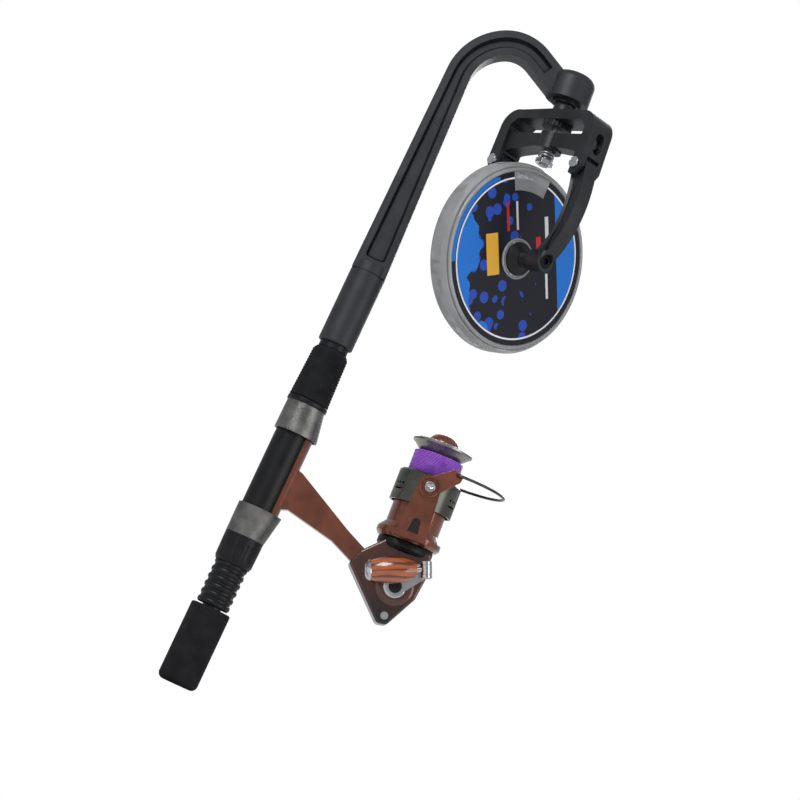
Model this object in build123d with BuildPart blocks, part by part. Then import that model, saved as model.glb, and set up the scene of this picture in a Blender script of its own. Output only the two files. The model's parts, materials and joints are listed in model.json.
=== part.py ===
from build123d import *
import os
from math import cos, pi, radians, sin

# A hand-held fishing line winder. A short rod handle carries a spinning reel, and a gooseneck
# arm on its upper end holds a swivelling fork. The fork's two arms pinch a bulk spool of line
# between two cones, so that the line is drawn straight onto the reel.
#
# Frame, in millimetres: +Z runs up the rod handle, the origin is the centre of the butt's end
# face, +X points from the rod to the reel and the line spool.

# ---------------------------------------------------------------- clearances
glue_gap = 0.05         # between pieces that are glued or pressed together
run_gap = 0.08          # radial, a shaft in its bore
side_gap = 0.3          # beside pieces that turn past each other

# ---------------------------------------------------------------- rod handle
blank_r = 6.0           # the rod blank that everything is threaded on
blank_wall = 1.5
butt_r = 12.7
butt_length = 50.5
butt_floor = 4.0        # foam below the end of the blank
seat_r = 10.9           # reel seat tube
thread_root_r = 9.7
thread_r = 10.6
thread_pitch = 5.0
thread_turns = 9
nut_r = 12.3
nut_length = 18.3
nut_flutes = 22
nut_top = 97.9
hood_r = 12.4           # the round end of each hood
hood_mouth_r = 14.2     # its open end, which is set off centre to take the reel's foot
hood_offset = 1.6
hood_wall = 1.1
hood_length = 19.0
hood_collar = 3.0       # length of each hood's round collar
foot_window = 51.0      # seat length left bare between the two hoods
ring_r = 13.1
ring_length = 3.5
grip_low_r = 12.9       # foregrip, lower end
grip_top_r = 11.5
grip_length = 35.5
spigot_r = 9.4          # plug on which the gooseneck arm is pushed
spigot_neck = 3.5       # bare neck between the foregrip and the arm's collar
spigot_depth = 30.0     # length of the spigot inside the collar

# ---------------------------------------------------------------- gooseneck arm
collar_r = 11.3
collar_length = 49.5
plug_length = 18.0      # the arm's own plug inside the collar
arm_foot_width = 22.4   # width of the arm in its own plane, at the collar
arm_width = 16.0        # and round the bend
arm_depth = 15.0        # across that plane
arm_straight = 141.0    # from the collar to where the bend begins
bend_r1 = 35.3          # centre line of the first, slow part of the bend
bend_turn1 = 61.0
bend_r2 = 25.0          # and of the crown
bend_turn2 = 57.0
arm_tail = 24.0         # straight run from the crown into the head
arm_rim = 4.6           # border left round the groove
groove_depth = 4.2
groove_start = 9.0      # solid arm left above the collar
groove_end = 14.0       # and before the head
groove_corner = 2.5
head_r = 14.2
head_height = 19.0
head_dome = 6.0

# ---------------------------------------------------------------- fork
fork_x = 67.8           # swivel axis at the underside of the head
fork_z = 434.0
fork_lean = 4.0         # degrees, the fork's lower end leans away from the rod
fork_turn = 39.0        # degrees, swing of the front arm from -Y towards +X
spindle_r = 3.0
spindle_root = 13.0     # length of the spindle inside the head
washer_r = 9.4
washer_t = 2.4
yoke_neck_r = 6.9
yoke_top = -2.6         # top of the yoke's neck, measured down from the head
bridge_low = -15.2      # underside of the yoke's upper bridge
bridge_t = 7.0
bridge_half = 9.0       # half width of the bridge and of the legs, across the fork
leg_out = 42.0          # outer face of each leg from the swivel axis
leg_t = 8.0
leg_end = -51.5         # lower end of the legs
wheel_r = 9.6           # tension wheel on the spindle
wheel_t = 3.6
wheel_teeth = 20
low_boss_r = 8.4
low_boss_top = -23.0
low_boss_h = 11.0
low_bar_t = 9.0
low_bar_half = 6.0
spring_r = 4.6          # centre line of the clamp spring's wire
spring_wire = 0.7       # radius of its wire
spring_coils = 2.5
spring_length = 6.4
end_nut_r = 4.4
end_nut_t = 3.0
pivot_u = 37.6          # arm pivots
pivot_w = -45.0
pivot_r = 2.0
pivot_head_r = 3.6
lug_half = 5.2          # half width of the arm's lug, between the leg's cheeks
lug_r = 6.0
arm_half = 5.6          # half width of the fork's arms
spool_gap = 3.6         # between the spindle's end and the spool's band
tip_u = 22.4            # inner face of the tip's boss
tip_length = 11.6
tip_r = 6.8
axle_r = 2.4
axle_head_r = 4.2
axle_head_t = 2.2
swing = 16.0            # degrees that each arm opens
screw_r = 1.5           # the two screws that hold the lower bridge between the legs
screw_head_r = 3.0
screw_length = 9.0
screw_seat = 2.5        # leg left under a screw's head
screw_well = 14.0       # length of the slot that each screw's head sits in

# ---------------------------------------------------------------- bulk line spool
spool_half = 8.0        # half its thickness
flange_r = 57.0
flange_t = 1.6
spool_bore_r = 10.0
hub_wall = 1.5
hub_lip = 1.2           # the hub's rim stands out of each flange
line_pack_r = 50.0
label_r = 54.4
label_hole_r = 13.0
label_t = 0.3
window_r = 42.6         # inner edge of the clear window in the printed disc
window_from = 86.0      # its first edge, in degrees about the spool axis
window_span = 34.0
band_t = 3.0            # radial depth of the clear band over the rims
band_half = 7.2
cone_neck_r = 4.8
cone_flange_r = 10.6
cone_ribs = 4

# ---------------------------------------------------------------- spinning reel
reel_x = 91.5           # rotor axis at the rotor's base
reel_z = 136.0
reel_lean = 3.5         # degrees, the reel's nose leans towards the rod
case_half = 12.5        # half thickness of the gear case
cover_t = 2.2
foot_r = 12.15          # the foot's rounded back
foot_offset = 1.0       # and how far its centre lies from the rod's axis
foot_t = 2.2            # thickness allowed for the foot where the stem leaves it
foot_half = 6.6
foot_cover = 7.0        # length of foot under each hood
stem_half = 4.4
crank_x = 95.5          # crank shaft
crank_z = 108.0
crank_angle = 52.0      # degrees, the crank arm's direction from +X towards +Z
crank_radius = 20.5
crank_shaft_r = 3.0
gear_r = 11.0
gear_t = 4.0
gear_teeth = 36
pinion_r = 3.2
pinion_low = -19.0
shaft_low = -12.0
cavity_gap = 1.2
rotor_r = 20.6
rotor_cup_r = 16.8
rotor_cup_top = 24.0
rotor_wall = 1.8
shaft_r = 1.9
skirt_r = 20.0
skirt_wall = 1.5
skirt_low = 22.8
skirt_top = 43.2
drum_r = 12.6
lip_low = 57.0
lip_top = 64.5
lip_r = 19.2
drag_r = 10.4
drag_top = 71.5
line_r = 0.42           # the reel's line, drawn as one thick strand
line_pitch = 1.3
line_turns = 7
pack_r = 15.0
rotor_arm_in = 21.0     # inner face of each rotor arm
rotor_arm_t = 4.0
pocket_half = 3.4       # pocket in each arm's outer face
pocket_low = 5.2
pocket_top = 12.0
pocket_depth = 2.4
bail_w = 34.5          # bail pivots above the rotor's base
bail_boss_r = 7.6
bail_lever_t = 3.0
bail_end_u = 13.5
bail_end_w = 47.0
bail_corner_r = 2.2
bail_wire_r = 0.9
bail_screw_r = 1.6
bail_head_r = 3.2
roller_r = 2.6
knob_r = 8.2
knob_length = 31.0
knob_turn = 205.0       # degrees, the folded knob's direction from +X towards +Z
knob_start = 5.6        # from the fold hinge to the knob
hinge_r = 3.4
hinge_half = 3.0
ear_t = 1.9
bearing_r = 7.0
bearing_t = 1.8
cover_screw_grip = 5.0  # length of each cover screw inside the case
arm_t = 3.6             # thickness of the crank arm

# ---------------------------------------------------------------- levels worked out from these
seat_top = nut_top + 2 * hood_length + foot_window
ring_top = seat_top + ring_length
grip_top = ring_top + grip_length
collar_low = grip_top + spigot_neck
arm_foot = collar_low + collar_length
hood_low = nut_top + 0.1
foot_low = hood_low + hood_length - foot_cover
foot_high = hood_low + hood_length + foot_window + foot_cover
thread_low = butt_length + 1.0
wheel_top = bridge_low - side_gap
spring_top = low_boss_top - low_boss_h
end_nut_top = spring_top - spring_length
spindle_end = end_nut_top - end_nut_t - 1.0
band_r = flange_r + band_t
tip_w = spindle_end - spool_gap - band_r    # spool axis, measured down from the head
arm_drop = pivot_w - tip_w

fork = Plane(
    origin=(fork_x, 0, fork_z),
    x_dir=(sin(radians(fork_turn)), -cos(radians(fork_turn)), 0),
    z_dir=(-sin(radians(fork_lean)), 0, cos(radians(fork_lean))),
)
reel = Plane(
    origin=(reel_x, 0, reel_z),
    x_dir=(cos(radians(reel_lean)), 0, sin(radians(reel_lean))),
    z_dir=(-sin(radians(reel_lean)), 0, cos(radians(reel_lean))),
)
fork_axis = Axis(fork.origin, fork.z_dir)
reel_axis = Axis(reel.origin, reel.z_dir)


def on(group, local):
    """A plane that is given in a group's own frame, in the whole part's frame."""
    return Plane(group.location * local.location)


def half_turns(radius, pitch, turns):
    """Points of a coil, half a turn apart, with the crown of each half turn between them."""
    for step in range(int(2 * turns)):
        start = pi * step
        yield [
            (radius * cos(start + t * pi), radius * sin(start + t * pi), pitch * (step + t) / 2)
            for t in (0, 0.5, 1)
        ]


def save(builder, name):
    """Label a finished piece and write it."""
    builder.part.label = name
    export_step(builder.part, f"parts/{name}.step")


os.makedirs("parts", exist_ok=True)

# ================================================================ rod handle
with BuildPart() as rod_blank:
    with BuildSketch(Plane.XY.offset(butt_floor)):
        Circle(blank_r)
        Circle(blank_r - blank_wall, mode=Mode.SUBTRACT)
    extrude(amount=collar_low + spigot_depth - 2 * butt_floor)
save(rod_blank, "rod_blank")

with BuildPart() as butt_grip:
    Cylinder(butt_r, butt_length, align=(Align.CENTER, Align.CENTER, Align.MIN))
    fillet(butt_grip.faces().sort_by(Axis.Z)[0].edges(), 4.0)
    fillet(butt_grip.faces().sort_by(Axis.Z)[-1].edges(), 1.5)
    with BuildSketch(Plane.XY.offset(butt_floor)):
        Circle(blank_r + glue_gap)
    extrude(amount=butt_length, mode=Mode.SUBTRACT)
save(butt_grip, "butt_grip")

# The seat's lower half carries the coarse rounded rings of the locking thread.
with BuildPart() as reel_seat:
    with BuildSketch(Plane.XZ) as seat_profile:
        with BuildLine():
            Polyline(
                (thread_root_r, thread_low),
                (blank_r + glue_gap, thread_low),
                (blank_r + glue_gap, seat_top),
                (seat_r, seat_top),
                (seat_r, hood_low),
                (thread_root_r, hood_low),
            )
            Line((thread_root_r, hood_low), (thread_root_r, thread_low))
        make_face()
        for turn in range(thread_turns):
            with Locations((thread_root_r - 0.4, thread_low + 2.0 + turn * thread_pitch)):
                Ellipse(thread_r - thread_root_r + 0.4, thread_pitch * 0.38)
    revolve(axis=Axis.Z)
save(reel_seat, "reel_seat")

with BuildPart() as seat_nut:
    with BuildSketch(Plane.XZ):
        with BuildLine():
            Polyline(
                (thread_r + run_gap, nut_top - nut_length),
                (nut_r - 1.2, nut_top - nut_length),
                (nut_r - 0.3, nut_top - nut_length + 2.0),
                (nut_r, nut_top - 4.0),
                (nut_r, nut_top),
                (thread_r + run_gap, nut_top),
                close=True,
            )
        make_face()
    revolve(axis=Axis.Z)
    with BuildSketch(Plane.XY.offset(nut_top - nut_length)):
        with PolarLocations(nut_r + 0.35, nut_flutes):
            Circle(0.8)
    extrude(amount=nut_length - 4.0, mode=Mode.SUBTRACT)
save(seat_nut, "seat_nut")


def hood(base, opens):
    """One metal hood: a round collar on the seat that flares off centre over the reel's foot."""
    with BuildPart() as shell:
        with BuildSketch(Plane.XY.offset(base)):
            Circle(hood_r)
        with BuildSketch(Plane.XY.offset(base + opens * hood_length)):
            with Locations((hood_offset, 0)):
                Circle(hood_mouth_r)
        loft()
        with BuildSketch(Plane.XY.offset(base)):
            Circle(seat_r + run_gap)
        extrude(amount=opens * hood_length, mode=Mode.SUBTRACT)
        with BuildSketch(Plane.XY.offset(base + opens * hood_collar)):
            with Locations((hood_offset * 0.5, 0)):
                Circle(hood_r - hood_wall)
        with BuildSketch(Plane.XY.offset(base + opens * hood_length)):
            with Locations((hood_offset, 0)):
                Circle(hood_mouth_r - hood_wall)
        loft(mode=Mode.SUBTRACT)
    return shell


sliding_hood = hood(hood_low, 1)
save(sliding_hood, "sliding_hood")
fixed_hood = hood(seat_top, -1)
save(fixed_hood, "fixed_hood")

with BuildPart() as trim_ring:
    with BuildSketch(Plane.XY.offset(seat_top)):
        Circle(ring_r)
        Circle(blank_r + glue_gap, mode=Mode.SUBTRACT)
    extrude(amount=ring_length)
    chamfer(trim_ring.edges().filter_by(GeomType.CIRCLE).sort_by(SortBy.RADIUS)[-2:], 0.6)
save(trim_ring, "trim_ring")

with BuildPart() as foregrip:
    with BuildSketch(Plane.XY.offset(ring_top)):
        Circle(grip_low_r)
    with BuildSketch(Plane.XY.offset(grip_top)):
        Circle(grip_top_r)
    loft()
    fillet(foregrip.faces().sort_by(Axis.Z)[-1].edges(), 3.0)
    with BuildSketch(Plane.XY.offset(ring_top)):
        Circle(blank_r + glue_gap)
    extrude(amount=grip_length, mode=Mode.SUBTRACT)
save(foregrip, "foregrip")

with BuildPart() as spigot:
    with BuildSketch(Plane.XY.offset(grip_top)):
        Circle(spigot_r)
        Circle(blank_r + glue_gap, mode=Mode.SUBTRACT)
    extrude(amount=spigot_neck + spigot_depth - 2.0)
save(spigot, "spigot")

# ================================================================ gooseneck arm
with BuildPart() as arm_collar:
    with BuildSketch(Plane.XY.offset(collar_low)):
        Circle(collar_r)
        Circle(spigot_r + run_gap, mode=Mode.SUBTRACT)
    extrude(amount=collar_length)
    outer = arm_collar.edges().filter_by(GeomType.CIRCLE).sort_by(SortBy.RADIUS)[-2:]
    chamfer(outer, 0.6)
save(arm_collar, "arm_collar")


def arm_outline(inset, low, tail):
    """The arm's outline in its own plane: a long taper, a slow bend, a tight crown, a tail."""
    half = arm_width / 2 - inset
    bend_low = arm_foot + arm_straight
    low_half = arm_foot_width / 2 - inset
    outer_start = (-2.0 - half, bend_low)
    inner_start = (-2.0 + half, bend_low)
    Line((-low_half, low), outer_start)
    outer_1 = JernArc(outer_start, (0, 1), bend_r1 + half, -bend_turn1)
    outer_2 = JernArc(outer_1 @ 1, outer_1 % 1, bend_r2 + half, -bend_turn2)
    outer_3 = Line(outer_2 @ 1, outer_2 @ 1 + (outer_2 % 1) * tail)
    inner_1 = JernArc(inner_start, (0, 1), bend_r1 - half, -bend_turn1)
    inner_2 = JernArc(inner_1 @ 1, inner_1 % 1, bend_r2 - half, -bend_turn2)
    inner_3 = Line(inner_2 @ 1, inner_2 @ 1 + (inner_2 % 1) * tail)
    Line(inner_start, (low_half, low))
    Line((low_half, low), (-low_half, low))
    Line(outer_3 @ 1, inner_3 @ 1)


with BuildPart() as gooseneck:
    with BuildSketch(Plane.XZ):
        with BuildLine():
            arm_outline(0, arm_foot, arm_tail)
        make_face()
    extrude(amount=arm_depth / 2, both=True)
    for side in (1, -1):
        with BuildSketch(Plane.XZ.offset(side * (arm_depth / 2 - groove_depth))) as groove:
            with BuildLine():
                arm_outline(arm_rim, arm_foot + groove_start, arm_tail - groove_end)
            make_face()
            fillet(groove.vertices().sort_by(Axis.Y)[:2], groove_corner)
        extrude(amount=side * groove_depth * 2, mode=Mode.SUBTRACT)
    # A round root that fills out to the collar.
    with BuildSketch(Plane.XY.offset(arm_foot)):
        Circle(collar_r - 0.2)
    extrude(amount=6.0)
    with BuildSketch(Plane.XY.offset(arm_foot)):
        Circle(spigot_r)
    extrude(amount=-plug_length)
    # The head: a short upright drum with a domed top, bored from below for the spindle.
    with BuildSketch(on(fork, Plane.XZ)):
        with BuildLine():
            Polyline((0, head_height), (0, 0), (head_r, 0), (head_r, head_height - head_dome))
            RadiusArc((head_r, head_height - head_dome), (head_r - head_dome, head_height), -head_dome)
            Line((head_r - head_dome, head_height), (0, head_height))
        make_face()
    revolve(axis=fork_axis)
    with BuildSketch(on(fork, Plane.XY)):
        Circle(spindle_r + glue_gap)
    extrude(amount=spindle_root, mode=Mode.SUBTRACT)
save(gooseneck, "gooseneck")

# ================================================================ fork
# The fork's own frame: its z runs up the swivel axis from the underside of the head, its x
# points to the front arm, its y lies across the arms.
with BuildPart() as spindle:
    with BuildSketch(on(fork, Plane.XY.offset(spindle_root - 0.5))):
        Circle(spindle_r)
    extrude(amount=spindle_end - spindle_root + 0.5)
save(spindle, "spindle")

with BuildPart() as swivel_washer:
    with BuildSketch(on(fork, Plane.XY)):
        Circle(washer_r)
        Circle(spindle_r + run_gap, mode=Mode.SUBTRACT)
    extrude(amount=-washer_t)
save(swivel_washer, "swivel_washer")

with BuildPart() as yoke:
    with BuildSketch(on(fork, Plane.XZ)):
        with BuildLine():
            top = bridge_low + bridge_t
            corner = (leg_out, top - 12.0)
            Polyline((0, top), (leg_out - 14.0, top - 1.0))
            ThreePointArc((leg_out - 14.0, top - 1.0), (leg_out - 4.0, top - 4.0), corner)
            Polyline(
                corner,
                (leg_out + 1.0, leg_end + 6.0),
                (leg_out - 3.0, leg_end),
                (leg_out - leg_t, leg_end),
                (leg_out - leg_t, bridge_low - 5.0),
            )
            Line((leg_out - leg_t, bridge_low - 5.0), (leg_out - leg_t - 5.0, bridge_low))
            Polyline((leg_out - leg_t - 5.0, bridge_low), (0, bridge_low), (0, top))
        make_face()
        mirror(about=Plane.YZ)
    extrude(amount=bridge_half, both=True)
    with BuildSketch(on(fork, Plane.XY.offset(yoke_top))):
        Circle(yoke_neck_r)
    extrude(amount=bridge_low - yoke_top)
    # Slots in the legs' lower ends for the lugs of the two arms.
    with BuildSketch(on(fork, Plane.XZ)):
        with Locations((pivot_u, leg_end), (-pivot_u, leg_end)):
            Rectangle(leg_t * 3, 2 * (pivot_w + lug_r + side_gap - leg_end))
    extrude(amount=lug_half + side_gap, both=True, mode=Mode.SUBTRACT)
    with BuildSketch(on(fork, Plane.XZ)):
        with Locations((pivot_u, pivot_w), (-pivot_u, pivot_w)):
            Circle(pivot_r + glue_gap)
    extrude(amount=bridge_half * 2, both=True, mode=Mode.SUBTRACT)
    # Screw wells in the outer face of each leg.
    bar_mid = low_boss_top - low_boss_h / 2
    with BuildSketch(on(fork, Plane.YZ)):
        with Locations((0, bar_mid)):
            Circle(screw_r + glue_gap)
    extrude(amount=leg_out * 2, both=True, mode=Mode.SUBTRACT)
    for side in (1, -1):
        with BuildSketch(on(fork, Plane.YZ.offset(side * (leg_out - leg_t + screw_seat)))):
            with Locations((0, bar_mid)):
                SlotOverall(screw_well, 2 * screw_head_r + 1.0, rotation=90)
        extrude(amount=side * leg_t * 2, mode=Mode.SUBTRACT)
    with BuildSketch(on(fork, Plane.XY)):
        Circle(spindle_r + run_gap)
    extrude(amount=bridge_low * 2, mode=Mode.SUBTRACT)
save(yoke, "yoke")

with BuildPart() as lower_bridge:
    inner = leg_out - leg_t
    with BuildSketch(on(fork, Plane.XZ)):
        with BuildLine():
            Polyline(
                (0, bar_mid + low_bar_t / 2),
                (inner - 4.0, bar_mid + low_bar_t / 2),
                (inner - glue_gap, bar_mid + low_bar_t / 2 + 2.0),
                (inner - glue_gap, bar_mid - low_bar_t / 2 - 4.0),
                (inner - 8.0, bar_mid - low_bar_t / 2 - 2.0),
                (0, bar_mid - low_bar_t / 2 + 1.0),
                close=True,
            )
        make_face()
        mirror(about=Plane.YZ)
    extrude(amount=low_bar_half, both=True)
    with BuildSketch(on(fork, Plane.XY.offset(low_boss_top))):
        Circle(low_boss_r)
    extrude(amount=-low_boss_h)
    with BuildSketch(on(fork, Plane.XY)):
        Circle(spindle_r + run_gap)
    extrude(amount=-100, mode=Mode.SUBTRACT)
    for side in (1, -1):
        with BuildSketch(on(fork, Plane.YZ.offset(side * inner))):
            with Locations((0, bar_mid)):
                Circle(screw_r + glue_gap)
        extrude(amount=-side * screw_length, mode=Mode.SUBTRACT)
save(lower_bridge, "lower_bridge")

with BuildPart() as bridge_screws:
    for side in (1, -1):
        with BuildSketch(on(fork, Plane.YZ.offset(side * (inner + screw_seat)))):
            with Locations((0, bar_mid)):
                Circle(screw_head_r)
        extrude(amount=side * 1.8)
        with BuildSketch(on(fork, Plane.YZ.offset(side * (inner + screw_seat)))):
            with Locations((0, bar_mid)):
                Circle(screw_r)
        extrude(amount=-side * (screw_length + screw_seat - 1.0))
save(bridge_screws, "bridge_screws")

with BuildPart() as tension_wheel:
    with BuildSketch(on(fork, Plane.XY.offset(wheel_top))):
        Circle(wheel_r)
        with PolarLocations(wheel_r + 0.4, wheel_teeth):
            Circle(0.9, mode=Mode.SUBTRACT)
        Circle(spindle_r + run_gap, mode=Mode.SUBTRACT)
    extrude(amount=-wheel_t)
save(tension_wheel, "tension_wheel")

# The clamp spring is one unbroken wire that climbs evenly in half turns.
with BuildPart() as clamp_spring:
    climb = spring_length - 2 * spring_wire - 0.4
    with BuildLine(on(fork, Plane.XY.offset(end_nut_top + spring_wire + 0.2))) as spring_path:
        for first, crown, last in half_turns(spring_r, climb / spring_coils, spring_coils):
            ThreePointArc(first, crown, last)
    with BuildSketch(Plane(spring_path.line @ 0, z_dir=spring_path.line % 0)):
        Circle(spring_wire)
    sweep()
save(clamp_spring, "clamp_spring")
print("clamp spring: least gap between coils", round(climb / spring_coils - 2 * spring_wire, 3))

with BuildPart() as end_nut:
    with BuildSketch(on(fork, Plane.XY.offset(end_nut_top))):
        RegularPolygon(end_nut_r + 1.6, 6)
        Circle(spindle_r + glue_gap, mode=Mode.SUBTRACT)
    extrude(amount=-end_nut_t)
save(end_nut, "end_nut")

with BuildPart() as pivot_screws:
    with BuildSketch(on(fork, Plane.XZ.offset(-bridge_half - 1.2))):
        with Locations((pivot_u, pivot_w), (-pivot_u, pivot_w)):
            Circle(pivot_r)
    extrude(amount=2 * bridge_half + 1.2)
    with BuildSketch(on(fork, Plane.XZ.offset(bridge_half))):
        with Locations((pivot_u, pivot_w), (-pivot_u, pivot_w)):
            Circle(pivot_head_r)
    extrude(amount=2.0)
    with BuildSketch(on(fork, Plane.XZ.offset(-bridge_half))):
        with Locations((pivot_u, pivot_w), (-pivot_u, pivot_w)):
            RegularPolygon(pivot_head_r, 6)
    extrude(amount=-1.8)
save(pivot_screws, "pivot_screws")


def fork_arm(side):
    """One arm of the fork, bowed outwards from its lug to the boss that holds a cone."""
    with BuildPart() as arm:
        with BuildSketch(on(fork, Plane.XZ)):
            with BuildLine():
                Spline(
                    (side * (pivot_u + lug_r), pivot_w),
                    (side * (pivot_u + 9.0), pivot_w - 0.35 * arm_drop),
                    (side * (pivot_u + 6.0), pivot_w - 0.7 * arm_drop),
                    (side * (tip_u + tip_length - 0.6), tip_w - 1.0),
                )
                Line((side * (tip_u + tip_length - 0.6), tip_w - 1.0), (side * (tip_u + 1.0), tip_w + 1.0))
                Spline(
                    (side * (tip_u + 1.0), tip_w + 1.0),
                    (side * (pivot_u - 3.0), pivot_w - 0.7 * arm_drop),
                    (side * (pivot_u - 1.0), pivot_w - 0.35 * arm_drop),
                    (side * (pivot_u - lug_r), pivot_w),
                )
                Line((side * (pivot_u - lug_r), pivot_w), (side * (pivot_u + lug_r), pivot_w))
            make_face()
            with Locations((side * pivot_u, pivot_w)):
                Circle(lug_r)
        extrude(amount=lug_half, both=True)
        with BuildSketch(on(fork, Plane.YZ.offset(side * tip_u))):
            with Locations((0, tip_w)):
                Circle(tip_r)
        extrude(amount=side * tip_length)
        with BuildSketch(on(fork, Plane.XZ)):
            with Locations((side * pivot_u, pivot_w)):
                Circle(pivot_r + run_gap)
        extrude(amount=bridge_half, both=True, mode=Mode.SUBTRACT)
        with BuildSketch(on(fork, Plane.YZ.offset(side * tip_u))):
            with Locations((0, tip_w)):
                Circle(axle_r + glue_gap)
        extrude(amount=side * tip_length, mode=Mode.SUBTRACT)
        with BuildSketch(on(fork, Plane.YZ.offset(side * (tip_u + tip_length - axle_head_t)))):
            with Locations((0, tip_w)):
                Circle(axle_head_r + 0.3)
        extrude(amount=side * tip_length, mode=Mode.SUBTRACT)
    return arm


def cone_axle(side):
    """The steel stub that a cone turns on, with a socket head in the mouth of the boss."""
    with BuildPart() as axle:
        with BuildSketch(on(fork, Plane.YZ.offset(side * 3.0))):
            with Locations((0, tip_w)):
                Circle(axle_r)
        extrude(amount=side * (tip_u + tip_length - 3.0))
        with BuildSketch(on(fork, Plane.YZ.offset(side * (tip_u + tip_length - axle_head_t)))):
            with Locations((0, tip_w)):
                Circle(axle_head_r)
        extrude(amount=side * axle_head_t)
        with BuildSketch(on(fork, Plane.YZ.offset(side * (tip_u + tip_length)))):
            with Locations((0, tip_w)):
                RegularPolygon(axle_r, 6)
        extrude(amount=-side * 1.6, mode=Mode.SUBTRACT)
    return axle


def cone(side, seat_gap):
    """A trumpet-shaped cone: its nose centres in the spool's bore, its ribbed neck meets the arm."""
    face = spool_half + hub_lip + seat_gap
    neck_end = tip_u - side_gap
    with BuildPart() as hub:
        with BuildSketch(on(fork, Plane.XZ)):
            with BuildLine():
                Polyline(
                    (side * 4.0, tip_w + axle_r + run_gap),
                    (side * neck_end, tip_w + axle_r + run_gap),
                    (side * neck_end, tip_w + cone_neck_r),
                    (side * (face + 5.0), tip_w + cone_neck_r + 0.6),
                    (side * (face + 1.2), tip_w + cone_flange_r),
                    (side * face, tip_w + cone_flange_r),
                    (side * face, tip_w + spool_bore_r - 0.3 - seat_gap),
                    (side * 4.0, tip_w + 7.0),
                    close=True,
                )
            make_face()
            pitch = (neck_end - face - 6.0) / cone_ribs
            for rib in range(cone_ribs):
                with Locations((side * (face + 5.6 + (rib + 0.5) * pitch), tip_w + cone_neck_r)):
                    Circle(0.9)
        revolve(axis=spool_axis)
    return hub


spool_axis = Axis(fork.from_local_coords(Vector(0, 0, tip_w)), fork.x_dir)

front_arm = fork_arm(1)
save(front_arm, "front_arm")
rear_arm = fork_arm(-1)
save(rear_arm, "rear_arm")
front_axle = cone_axle(1)
save(front_axle, "front_axle")
rear_axle = cone_axle(-1)
save(rear_axle, "rear_axle")
front_cone = cone(1, 0.0)
save(front_cone, "front_cone")
rear_cone = cone(-1, side_gap)
save(rear_cone, "rear_cone")

# ================================================================ bulk line spool
with BuildPart() as line_spool:
    with BuildSketch(on(fork, Plane.XZ)):
        with Locations((0, tip_w + spool_bore_r + hub_wall / 2)):
            Rectangle(2 * (spool_half + hub_lip), hub_wall)
        with Locations(
            (spool_half - flange_t / 2, tip_w + (spool_bore_r + flange_r) / 2),
            (-spool_half + flange_t / 2, tip_w + (spool_bore_r + flange_r) / 2),
        ):
            Rectangle(flange_t, flange_r - spool_bore_r)
    revolve(axis=spool_axis)
save(line_spool, "line_spool")

with BuildPart() as line_pack:
    with BuildSketch(on(fork, Plane.YZ.offset(-spool_half + flange_t))):
        with Locations((0, tip_w)):
            Circle(line_pack_r)
            Circle(spool_bore_r + hub_wall, mode=Mode.SUBTRACT)
    extrude(amount=2 * (spool_half - flange_t))
save(line_pack, "line_pack")


def label(side):
    """A printed disc on a flange, with a clear window that shows how much line is left."""
    with BuildPart() as disc:
        with BuildSketch(on(fork, Plane.YZ.offset(side * spool_half))):
            with Locations((0, tip_w)):
                Circle(label_r)
                Circle(label_hole_r, mode=Mode.SUBTRACT)
        extrude(amount=side * label_t)
        with BuildSketch(on(fork, Plane.YZ.offset(side * spool_half))):
            with BuildLine(mode=Mode.PRIVATE) as window:
                w0 = radians(window_from)
                w1 = radians(window_from + window_span)
                wm = (w0 + w1) / 2
                far = label_r + 2.0
                p0 = (window_r * cos(w0), tip_w + window_r * sin(w0))
                pm = (window_r * cos(wm), tip_w + window_r * sin(wm))
                p1 = (window_r * cos(w1), tip_w + window_r * sin(w1))
                q0 = (far * cos(w0), tip_w + far * sin(w0))
                qm = (far * cos(wm), tip_w + far * sin(wm))
                q1 = (far * cos(w1), tip_w + far * sin(w1))
                ThreePointArc(p0, pm, p1)
                Line(p1, q1)
                ThreePointArc(q1, qm, q0)
                Line(q0, p0)
            make_face(window.edges())
        extrude(amount=side * label_t, mode=Mode.SUBTRACT)
    return disc


front_label = label(1)
save(front_label, "front_label")
rear_label = label(-1)
save(rear_label, "rear_label")

with BuildPart() as spool_band:
    with BuildSketch(on(fork, Plane.XZ)):
        with BuildLine():
            Polyline(
                (-band_half, tip_w + flange_r + glue_gap),
                (band_half, tip_w + flange_r + glue_gap),
                (band_half, tip_w + band_r - 1.6),
                (band_half - 3.0, tip_w + band_r),
                (-band_half + 3.0, tip_w + band_r),
                (-band_half, tip_w + band_r - 1.6),
                close=True,
            )
        make_face()
    revolve(axis=spool_axis)
save(spool_band, "spool_band")

# ================================================================ spinning reel
# The reel's own frame: its z runs up the rotor axis from the rotor's base, its x points away
# from the rod.
cover_y = -case_half + cover_t
gear_top = -pinion_r - 0.4
crank_y = -case_half - bearing_t - side_gap
knob_y = crank_y - arm_t - knob_r - 0.6
hinge_x = crank_x + crank_radius * cos(radians(crank_angle))
hinge_z = crank_z + crank_radius * sin(radians(crank_angle))
knob_dir = Vector(cos(radians(knob_turn)), 0, sin(radians(knob_turn)))
fold_dir = Vector(-sin(radians(knob_turn - 180)), 0, cos(radians(knob_turn - 180)))
hinge = Plane(origin=(hinge_x, knob_y, hinge_z), x_dir=knob_dir, z_dir=fold_dir)
crank_plane = Plane(origin=(crank_x, 0, crank_z), x_dir=(1, 0, 0), z_dir=(0, -1, 0))
cover_holes = [(76.0, 113.0), (104.0, 124.5), (97.0, 89.5)]


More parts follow.
